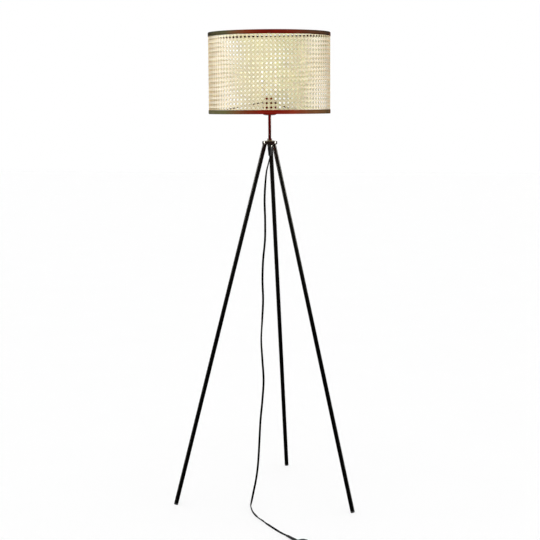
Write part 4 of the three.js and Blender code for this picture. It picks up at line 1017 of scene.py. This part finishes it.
class Weave:
    """Strands on the drum, gathered into one mesh, each with its own tone."""

    def __init__(self):
        self.points, self.faces, self.tones, self.sides = [], [], [], []

    def strand(self, line, width, closed=False):
        """line holds (turn, height, offset, lean): a place on the drum, how far out, and its slope."""
        half, deep = width / 2, STRAND_THICKNESS / 2
        section = [(-half, -deep), (half, -deep), (half * 0.72, deep), (-half * 0.72, deep)]
        rings = []
        for turn, height, offset, lean in line:
            skewed = height + CANE_SKEW * math.sin(turn - CAMERA_TURN + math.pi / 2)
            out = heading_of(turn)
            round_ = Vector((-math.sin(turn), math.cos(turn), 0))
            side = round_ * math.cos(lean) + upward(math.sin(lean))
            centre = out * (CANE_RADIUS + offset) + upward(min(CANE_HIGH, max(CANE_LOW, skewed)))
            rings.append([centre + side * x + out * y for x, y in section])
        points, faces = lofted(rings, closed)
        start = len(self.points)
        self.points += points
        self.faces += [[start + i for i in side] for side in faces]
        self.tones += [rng.random()] * len(points)
        # Cut edges and ends get 1, inner faces their mark of painted light and shade, outer faces 0.
        for index, face in enumerate(faces):
            end = index >= len(faces) - len(faces) % 4
            if end or index % 2:
                self.sides.append(1.0)
            else:
                self.sides.append(0.0 if index % 4 else inner_face_painted_light(points[face[0]]))

    def finish(self, name, material="cane"):
        mesh = mesh_from(name, (self.points, self.faces), sharp=50)
        for key, domain, values in (("tone", "POINT", self.tones), ("side", "FACE", self.sides)):
            mesh.attributes.new(key, "FLOAT", domain).data.foreach_set("value", values)
        return settle(add_object(name, mesh, MATERIALS[material]), material, "shade_cane")


def rows_of(value):
    """Heights of whole and part rows: 0 is the top row of holes, and it counts downwards."""
    return CANE_FIRST_ROW - CANE_PITCH * value


def columns_of(value):
    return CANE_TURN + value * TAU / CANE_COLUMNS


CROSSING = PAIR_SPREAD / CANE_PITCH
PUSHES = [(-2, 0), (-1, 1), (0, 0), (1, -1), (2, 0)]
KNOTS = [(0.0, 0), *[(0.5 + step * CROSSING, push) for step, push in PUSHES]]
FIRST_PLACE = (CANE_FIRST_ROW - CANE_HIGH) / CANE_PITCH
LAST_PLACE = (CANE_FIRST_ROW - CANE_LOW) / CANE_PITCH


def stepped(first, last):
    """Places along a strand, with the way that it is pushed by the strands that it crosses."""
    made = []
    for whole in range(math.floor(first) - 1, math.ceil(last) + 1):
        made += [(whole + share, push) for share, push in KNOTS if first < whole + share < last]
    return [(first, 0), *made, (last, 0)]


def add_uprights():
    weave = Weave()
    for column in range(CANE_COLUMNS):
        for side in (-1, 1):
            turn = columns_of(column + 0.5) + side * PAIR_SPREAD / CANE_RADIUS + rng.gauss(0, TURN_SPREAD)
            line = []
            for place, push in stepped(FIRST_PLACE, LAST_PLACE):
                line.append((turn, rows_of(place), PUSH * push * side, 0))
            weave.strand(line, STRAND_WIDTH * rng.uniform(0.92, 1.05))
    return weave.finish("cane_uprights")


def add_rounds():
    weave = Weave()
    for row in range(-2, 18):
        for side in (-1, 1):
            height = rows_of(row + 0.5) - side * PAIR_SPREAD + rng.gauss(0, 0.08)
            if not CANE_LOW + 1.5 < height < CANE_HIGH - 1.5:
                continue
            places = stepped(0, CANE_COLUMNS)[1:-1]
            line = [(columns_of(place), height, -PUSH * push * side, math.pi / 2) for place, push in places]
            weave.strand(line, STRAND_WIDTH * rng.uniform(0.92, 1.05), closed=True)
    return weave.finish("cane_rounds")


def add_diagonals():
    """Single strands both ways, each over one pair and under the next."""
    weave = Weave()
    steps = 6
    for way in (-1, 1):
        for index in range(CANE_COLUMNS):
            line = []
            first, last = math.ceil(FIRST_PLACE * steps), math.floor(LAST_PLACE * steps)
            places = [FIRST_PLACE, *[k / steps for k in range(first, last + 1)], LAST_PLACE]
            nudge = rng.gauss(0, TURN_SPREAD)
            for place in places:
                swing = math.cos(TAU * place) * -way
                offset = DIAGONAL_SWING * swing * (1.4 - 0.4 * swing * swing)
                turn = columns_of(index + 0.5 + way * place) + nudge
                line.append((turn, rows_of(place), offset, way * math.pi / 4))
            weave.strand(line, STRAND_WIDTH * rng.uniform(0.9, 1.02))
    return weave.finish("cane_diagonals", "binder")


def trim_profile():
    """The binding tape's folded section, as (radius, height above the rim), round from its outer edge."""
    lining = [
        (199.1, 13.0), (199.1, 1.2), (198.9, 0.9), (192.7, 0.9), (192.4, 1.2), (192.4, 9.9), (192.2, 10.0),
        (191.7, 10.0), (191.5, 9.8), (191.5, 0.9),
    ]
    fold = [*arc(192.4, 0.9, 0.9, 180, 270, 5), *arc(198.5, 1.0, 1.0, -90, -15, 5)]
    face = [
        (199.62, 2.4), (199.82, 4.2), (199.84, 5.3), (199.98, 5.9), (200.0, 6.5), (199.98, 7.1),
        (199.84, 7.7), (199.82, 8.8), (199.66, 10.8), (199.55, 12.4), (199.4, 12.9), (199.25, 13.0),
    ]
    return lining + fold + face


def add_trims():
    bottom = [(radius, SHADE_BOTTOM + height) for radius, height in trim_profile()]
    top = [(radius, SHADE_TOP - height) for radius, height in trim_profile()]
    slots = []
    for turn in ARM_TURNS:
        out = heading_of(turn)
        side = heading_of(turn + math.pi / 2)
        base = out * 189.5 + upward(SHADE_BOTTOM + 0.9)
        corners = ((-2.4, 0), (2.4, 0), (2.4, 11), (-2.4, 11))
        ring = [side * across + upward(height) for across, height in corners]
        slots.append(lofted([[base + p for p in ring], [base + out * 5.2 + p for p in ring]]))
    piece("binding_bottom", turned(bottom, 300), "tape", "shade_trim_bottom", sharp=50, carved=slots)
    piece("binding_top", turned(top, 300), "tape", "shade_trim_top", sharp=50)


def add_wires():
    """The top ring, and the spider: bottom ring, three arms and the fitter ring, welded together."""
    piece("ring_top", wire_ring(WIRE_REACH, SHADE_TOP - WIRE_INSET, WIRE), "wire", "shade_ring_top")
    low = SHADE_BOTTOM + WIRE_INSET
    inside, outside, fitter_low, fitter_high = 20.0, 25.8, 1320.7, 1323.0
    fitter = [(inside, fitter_low), (outside, fitter_low), (outside, fitter_high), (inside, fitter_high)]
    forms = [wire_ring(WIRE_REACH, low, WIRE), turned(soften(fitter, 0.6), 96)]
    for turn in ARM_TURNS:
        out = heading_of(turn)
        inner = out * 23.8 + upward((fitter_low + fitter_high) / 2)
        outer = out * WIRE_REACH + upward(low)
        forms.append(rod(inner, outer, WIRE / 2, 20))
        forms.append(ball(inner + out * 1.6, (2.9, 2.9, 1.15)))
        forms.append(ball(outer, (2.6, 2.6, 2.15)))
    piece("spider", joined(*forms), "wire", "shade_spider")


add_uprights()
add_rounds()
add_diagonals()
add_trims()
add_wires()


# Lampholder and bulb
BORE = 5.3  # radius of every hole that the stem passes through
CUP_RADIUS = 23
CUP_TOP = 1320.0
CUP_SHOULDER = 1284.4
CUP_WALL = 1
HOLDER_RADIUS = 19.4


def cup_profile():
    flat = 9
    depth = 5
    inside = CUP_RADIUS - CUP_WALL

    def dome(radius, depth):
        return [(flat + (radius - flat) * x, CUP_SHOULDER + depth * y) for x, y in arc(0, 0, 1, -90, 0, 14)]

    lip = CUP_TOP + 0.4
    rim = [(CUP_RADIUS, CUP_TOP), (CUP_RADIUS - 0.2, lip), (inside + 0.2, lip), (inside, CUP_TOP)]
    bottom = CUP_SHOULDER - depth
    outer, inner = dome(CUP_RADIUS, depth), dome(inside, depth - CUP_WALL)
    return [(BORE, bottom), *outer, *rim, *inner[::-1], (BORE, bottom + CUP_WALL)]


def shell_profile():
    low, thread_low, thread_high, top = 1297.5, 1317.0, 1331.3, 1340.0
    root = 18.7
    thread = []
    for i in range(5):
        start = 1318.3 + i * 2.6
        thread += [(root, start), (HOLDER_RADIUS, start + 1.3)]
    return [
        (12.0, low), (HOLDER_RADIUS, low), (HOLDER_RADIUS, thread_low), *thread, (root, thread_high),
        (16.0, thread_high), (16.0, top), (14.6, top), (14.6, low + 2), (12.0, low + 2),
    ]


def clamp_profile():
    inside, outside, low, high = 19.7, 23.0, 1323.3, 1330.3
    ribs = []
    for i in range(3):
        start = low + 2 * i + 1
        ribs += [(outside, start), (22.3, start + 0.5), (outside, start + 1)]
    return [(inside, low), (outside, low), *ribs, (outside, high), (inside, high)]


def hex_form(across, low, high):
    """A nut with chamfered corners and the stem's bore."""
    sides = 72
    chamfer = 0.5

    def ring(height, limit):
        """The hexagon at that height, cut back to a circle."""
        made = []
        for i in range(sides):
            angle = TAU * (i + 0.5) / sides
            flat = across / 2 / math.cos(angle % (math.pi / 3) - math.pi / 6)
            made.append(heading_of(angle) * min(flat, limit) + upward(height))
        return made

    corner = across / math.sqrt(3)
    outside = [(low, across / 2), (low + chamfer, corner), (high - chamfer, corner), (high, across / 2)]
    rings = [ring(height, limit) for height, limit in (*outside, (high, BORE), (low, BORE))]
    return lofted(rings, closed=True)


def add_lampholder():
    cap = [
        (BORE, 1285.0), (HOLDER_RADIUS, 1285.0), (HOLDER_RADIUS, 1297.2), (17.6, 1297.2), (17.6, 1288.0),
        (BORE, 1288.0),
    ]
    insert = [(0, 1299.8), (14.3, 1299.8), (14.3, 1312.2), (6, 1312.2), (6, 1313.4), (0, 1313.4)]
    sleeve = [(13.7, 1312.5), (14.3, 1312.5), (14.3, 1336.5), (13.7, 1336.5)]
    piece("cup", turned(cup_profile(), 128), "cup", "holder_cup", sharp=30)
    piece("holder_nut", hex_form(14, 1280.7, 1284.7), "nickel", "holder_lock_nut", sharp=20)
    piece("holder_base", turned(soften(cap, 0.8)), "holder", "holder_cap")
    piece("holder_body", turned(soften(shell_profile(), 0.5)), "holder", "holder_shell")
    piece("clamp_ring", turned(soften(clamp_profile(), 0.4)), "holder", "shade_clamp_ring")
    piece("holder_core", turned(soften(insert, 0.5), 64), "ceramic", "holder_insert")
    dress("brass", "holder_contact")
    piece("holder_sleeve", turned(soften(sleeve, 0.2), 64), "nickel", "holder_screw_shell")


BULB_POWER = 1.2
BULB_RADIUS = 34
BULB_MIDDLE = 1406.5  # height at which the globe is widest
BULB_RISE = 44  # from there to its top


def add_glow(name, place):
    """The bulb's own light, which its frosted dome lets out."""
    data = bpy.data.lights.new(name, "POINT")
    data.energy = BULB_POWER
    data.color = (1.0, 0.95, 0.84)
    data.shadow_soft_size = 0.03
    glow = bpy.data.objects.new(name, data)
    bpy.context.scene.collection.objects.link(glow)
    glow.location = place


def add_bulb():
    tip = [(0, 1316.3), *arc(2.25, 1318.55, 2.25, -90, -30, 5), (4.5, 1318.5), (0, 1318.5)]
    insulator = [(0, 1318.8), (4.5, 1318.8), (10.3, 1321.6), (0, 1321.6)]
    cap_low, pitch, crest, root = 1321.9, 10 / 3, 13.1, 12.5
    thread = [(root, cap_low + pitch / 2)]
    for i in range(1, 5):
        thread += [(crest, cap_low + i * pitch), (root, cap_low + (i + 0.5) * pitch)]
    cap = [(0, cap_low), (10.3, cap_low), *thread, (crest, 1338.6), (crest, 1341.9), (0, 1341.9)]
    flare = [(15 + 19 * x, 1342.2 + 42 * (1 + y)) for x, y in arc(0, 0, 1, -90, -18, 20)]
    housing = [(0, 1342.2), *flare, (BULB_RADIUS, 1383.4), (33.6, 1384.2), (0, 1384.2)]

    def dome(wall):
        """The globe's round outside, or its inside at that depth."""
        curve = arc(0, 0, 1, 0, 88, 20)
        return [((BULB_RADIUS - wall) * x, BULB_MIDDLE + (BULB_RISE - wall) * y) for x, y in curve]

    wall, base, top = 1.2, 1384.5, BULB_MIDDLE + BULB_RISE
    skirt = [(BULB_RADIUS, base), (BULB_RADIUS - wall, base)]
    globe = [(0, top), *dome(0)[::-1], *skirt, *dome(wall), (0, top - wall)]
    piece("bulb_contact", turned(soften(tip, 0.3), 48), "nickel", "bulb_tip")
    piece("bulb_collar", turned(insulator, 48), "plastic", "bulb_insulator")
    piece("bulb_thread", turned(soften(cap, 0.7), 64), "nickel", "bulb_screw_cap")
    piece("bulb_body", turned(soften(housing, 0.5), 96), "housing", "bulb_housing")
    dress("white", "bulb_led_board")
    globe_piece = piece("bulb_dome", turned(globe, 96), "globe", "bulb_globe")
    globe_piece.visible_shadow = False
    add_glow("glow_in_bulb", at_axis((0, 0, 1418)))


add_lampholder()
add_bulb()


# Stem and hub
HUB_UNDERSIDE = 1185
FOOT_REACH = 340  # from the lamp's axis to where a leg's axis meets the floor
SOCKET_REACH = 17.7  # and to where it meets the hub's underside
LEG_LEAN = math.atan2(FOOT_REACH - SOCKET_REACH, HUB_UNDERSIDE)
LEG_LENGTH = HUB_UNDERSIDE / math.cos(LEG_LEAN)
LEG_RADIUS = 7


def in_leg(form, index):
    """From a leg's own frame, whose axis is Z and whose origin is where that axis meets the floor."""
    swing = Matrix.Rotation(index * TAU / 3, 4, "Z")
    return moved(form, swing @ Matrix.Translation((0, FOOT_REACH, 0)) @ Matrix.Rotation(LEG_LEAN, 4, "X"))


def grip_profile():
    top, taper_top, seat = 1177.7, 1170.7, 1175.7
    wide, narrow, inside = 7, 4.7, 3.8

    def taper(share):
        return wide + (narrow - wide) * share, taper_top + (GRIP_MOUTH - taper_top) * share

    ribs = []
    for i in range(1, 5):
        radius, height = taper(i / 5)
        ribs += [(radius, height + 0.92), (radius - 0.6, height), (radius, height - 0.92)]
    return [
        (BORE, top), (wide, top), (wide, taper_top), *ribs, (narrow, GRIP_MOUTH), (inside, GRIP_MOUTH),
        (inside, seat), (BORE, seat),
    ]


def core_form(side):
    """One of the lead's two cores, from the stem's top to its place in the lampholder."""
    start = Vector((side * 1.75, 0, 1290.7))
    end = Vector((side * 6, 0, 1299.5))
    rise = upward((end.z - start.z) / 3)
    line = smooth_line([start, start + rise, end - rise, end], 0.5)
    return carried(line, round_section(1.1), lambda i, along: Vector((0, 1, 0)))


def add_stem_and_hub():
    stem = [(4, 1176.0), (5, 1176.0), (5, 1290.4), (4, 1290.4)]
    collar = [(BORE, 1198.6), (7.8, 1198.6), *arc(6.4, 1202.8, 1.4, 0, 90, 6), (BORE, 1204.2)]
    edge = [*arc(23.8, HUB_UNDERSIDE + 1.2, 1.2, -90, 0, 6), *arc(23.8, 1194.3, 1.2, 0, 80, 6)]
    hub = [(BORE, HUB_UNDERSIDE), *edge, (9.4, 1198.25), (9.0, 1198.3), (BORE, 1198.3)]
    washer = [(BORE, 1183.3), (9, 1183.3), (9, 1184.7), (BORE, 1184.7)]
    sockets = [in_leg(column(4.3, LEG_LENGTH - 26, LEG_LENGTH + 7.6), i) for i in range(3)]
    piece("stem", turned(held(soften(stem, 0.3)), 64), "stem", "stem_tube")
    piece("collar", turned(collar, 96), "collar", "stem_collar", sharp=40)
    piece("hub", turned(hub, 144), "hub", "hub_plate", sharp=40, carved=sockets)
    piece("washer", turned(soften(washer, 0.3), 72), "nut", "hub_washer")
    piece("nut", hex_form(15, 1178.0, 1183.0), "nut", "hub_nut", sharp=20)
    piece("grip", turned(soften(grip_profile(), 0.5), 64), "plastic", "cord_grip", sharp=45)
    inner = [(upward(z), Vector((1, 0, 0)), Vector((0, 1, 0))) for z in (GRIP_MOUTH, 1220, 1290.1)]
    piece("lead_inside", swept(inner, twin_section()), "sheath", "inner_lead", sharp=50)
    piece("live", core_form(1), "brown", "core_live")
    piece("neutral", core_form(-1), "blue", "core_neutral")


def leg_form():
    """A tube mitred under the hub, in the leg's own frame."""
    foot = foot_shoulder() + 0.3
    inside = 5.8
    rows = [
        (inside, foot + 0.3), (6.1, foot), (6.7, foot), (LEG_RADIUS, foot + 0.3), (LEG_RADIUS, None),
        (inside, None),
    ]
    rings = []
    for radius, height in rows:
        ring = []
        for x, y in round_section(radius, 48):
            top = (HUB_UNDERSIDE - 0.3 - y * math.sin(LEG_LEAN)) / math.cos(LEG_LEAN)
            ring.append(Vector((x, y, top if height is None else height)))
        rings.append(ring)
    return lofted(rings, closed=True)


FOOT_ROUND = 1.3
FOOT_PRESSED = 0.9  # how far the rubber is flattened by the floor


def foot_start():
    edge = (LEG_RADIUS - FOOT_ROUND) * math.tan(LEG_LEAN) + FOOT_ROUND / math.cos(LEG_LEAN)
    return edge - FOOT_ROUND - FOOT_PRESSED


def foot_shoulder():
    return foot_start() + 6


def foot_form():
    start, shoulder = foot_start(), foot_shoulder()
    sole = arc(LEG_RADIUS - FOOT_ROUND, start + FOOT_ROUND, FOOT_ROUND, -90, 0, 8)
    cap = [(0, start), *sole, (LEG_RADIUS, shoulder - 0.4), (6.6, shoulder)]
    return turned([*cap, (5.5, shoulder), (5.5, shoulder + 14), (0, shoulder + 14)], 64)


def add_legs():
    square = [(-500, -500), (500, -500), (500, 500), (-500, 500)]
    floor_block = lofted([[Vector((x, y, z)) for x, y in square] for z in (-20, 0)])
    for index in range(3):
        number = index + 1
        piece(f"leg_{number}", in_leg(leg_form(), index), "leg", f"leg_tube_{number}")
        foot = in_leg(foot_form(), index)
        piece(f"foot_{number}", foot, "foot", f"foot_cap_{number}", carved=[floor_block])
        dress("steel", f"leg_insert_{number}", f"leg_stud_{number}")


add_stem_and_hub()
add_legs()


# Lights and floor: a pale studio with a soft light from each side.
WORLD_LIGHT = 0.4
FLOOR_SIZE = 40.0
FLOOR_GLOW = 0.75


def add_world():
    made = Nodes("studio", bpy.data.worlds, "Background", "World Output")
    bpy.context.scene.world = made.block
    made.set(Color=grey(1), Strength=WORLD_LIGHT)
    white = made.node("ShaderNodeBackground", {"Color": grey(1), "Strength": 1})
    made.mix_surface(made.seen(), made.shader, white)


def add_sun(name, turn, rise, strength, softness, mirrored=True, spread=True):
    """A soft light from that many degrees to the camera's right, and that high."""
    data = bpy.data.lights.new(name, "SUN")
    data.energy = strength
    data.angle = math.radians(softness)
    lamp = bpy.data.objects.new(name, data)
    lamp.visible_glossy = mirrored
    lamp.visible_diffuse = spread
    lamp.visible_transmission = spread
    bpy.context.scene.collection.objects.link(lamp)
    toward = heading_of(CAMERA_TURN - math.pi / 2 + math.radians(turn)) * math.cos(math.radians(rise))
    toward.z = math.sin(math.radians(rise))
    lamp.rotation_euler = toward.to_track_quat("Z", "Y").to_euler()


def add_floor():
    half = FLOOR_SIZE / 2
    corners = [(-half, -half, 0), (half, -half, 0), (half, half, 0), (-half, half, 0)]
    mesh = bpy.data.meshes.new("floor")
    mesh.from_pydata(corners, [], [(0, 1, 2, 3)])
    made = Nodes("floor_pale")
    tone = made.ramp(made.noise(3), (0.3, grey(0.88)), (0.7, grey(0.9)))
    dull = made.node("ShaderNodeBsdfDiffuse", {"Color": tone})
    glow = made.node("ShaderNodeEmission", {"Color": grey(1), "Strength": 1.0})
    made.mix_surface(made.math("MULTIPLY", made.seen(), FLOOR_GLOW), dull, glow)
    add_object("floor", mesh, made.block)


add_world()
add_sun("light_left", -97, 6, 1.28, 24)
add_sun("light_right", 100, 6, 1.5, 24)
add_sun("glint_left", -93, 2, 9.0, 12, spread=False)
add_sun("glint_right", 93, 2, 9.0, 12, spread=False)
add_sun("glint_high_left", -94, 20, 5.0, 12, spread=False)
add_sun("glint_high_right", 94, 20, 5.0, 12, spread=False)
add_sun("light_top", 0, 86, 1.5, 50, mirrored=False)
add_sun("light_front", 0, 15, 0.5, 40, mirrored=False)
add_sun("light_back", 180, -2, 4.0, 40, mirrored=False)
add_floor()
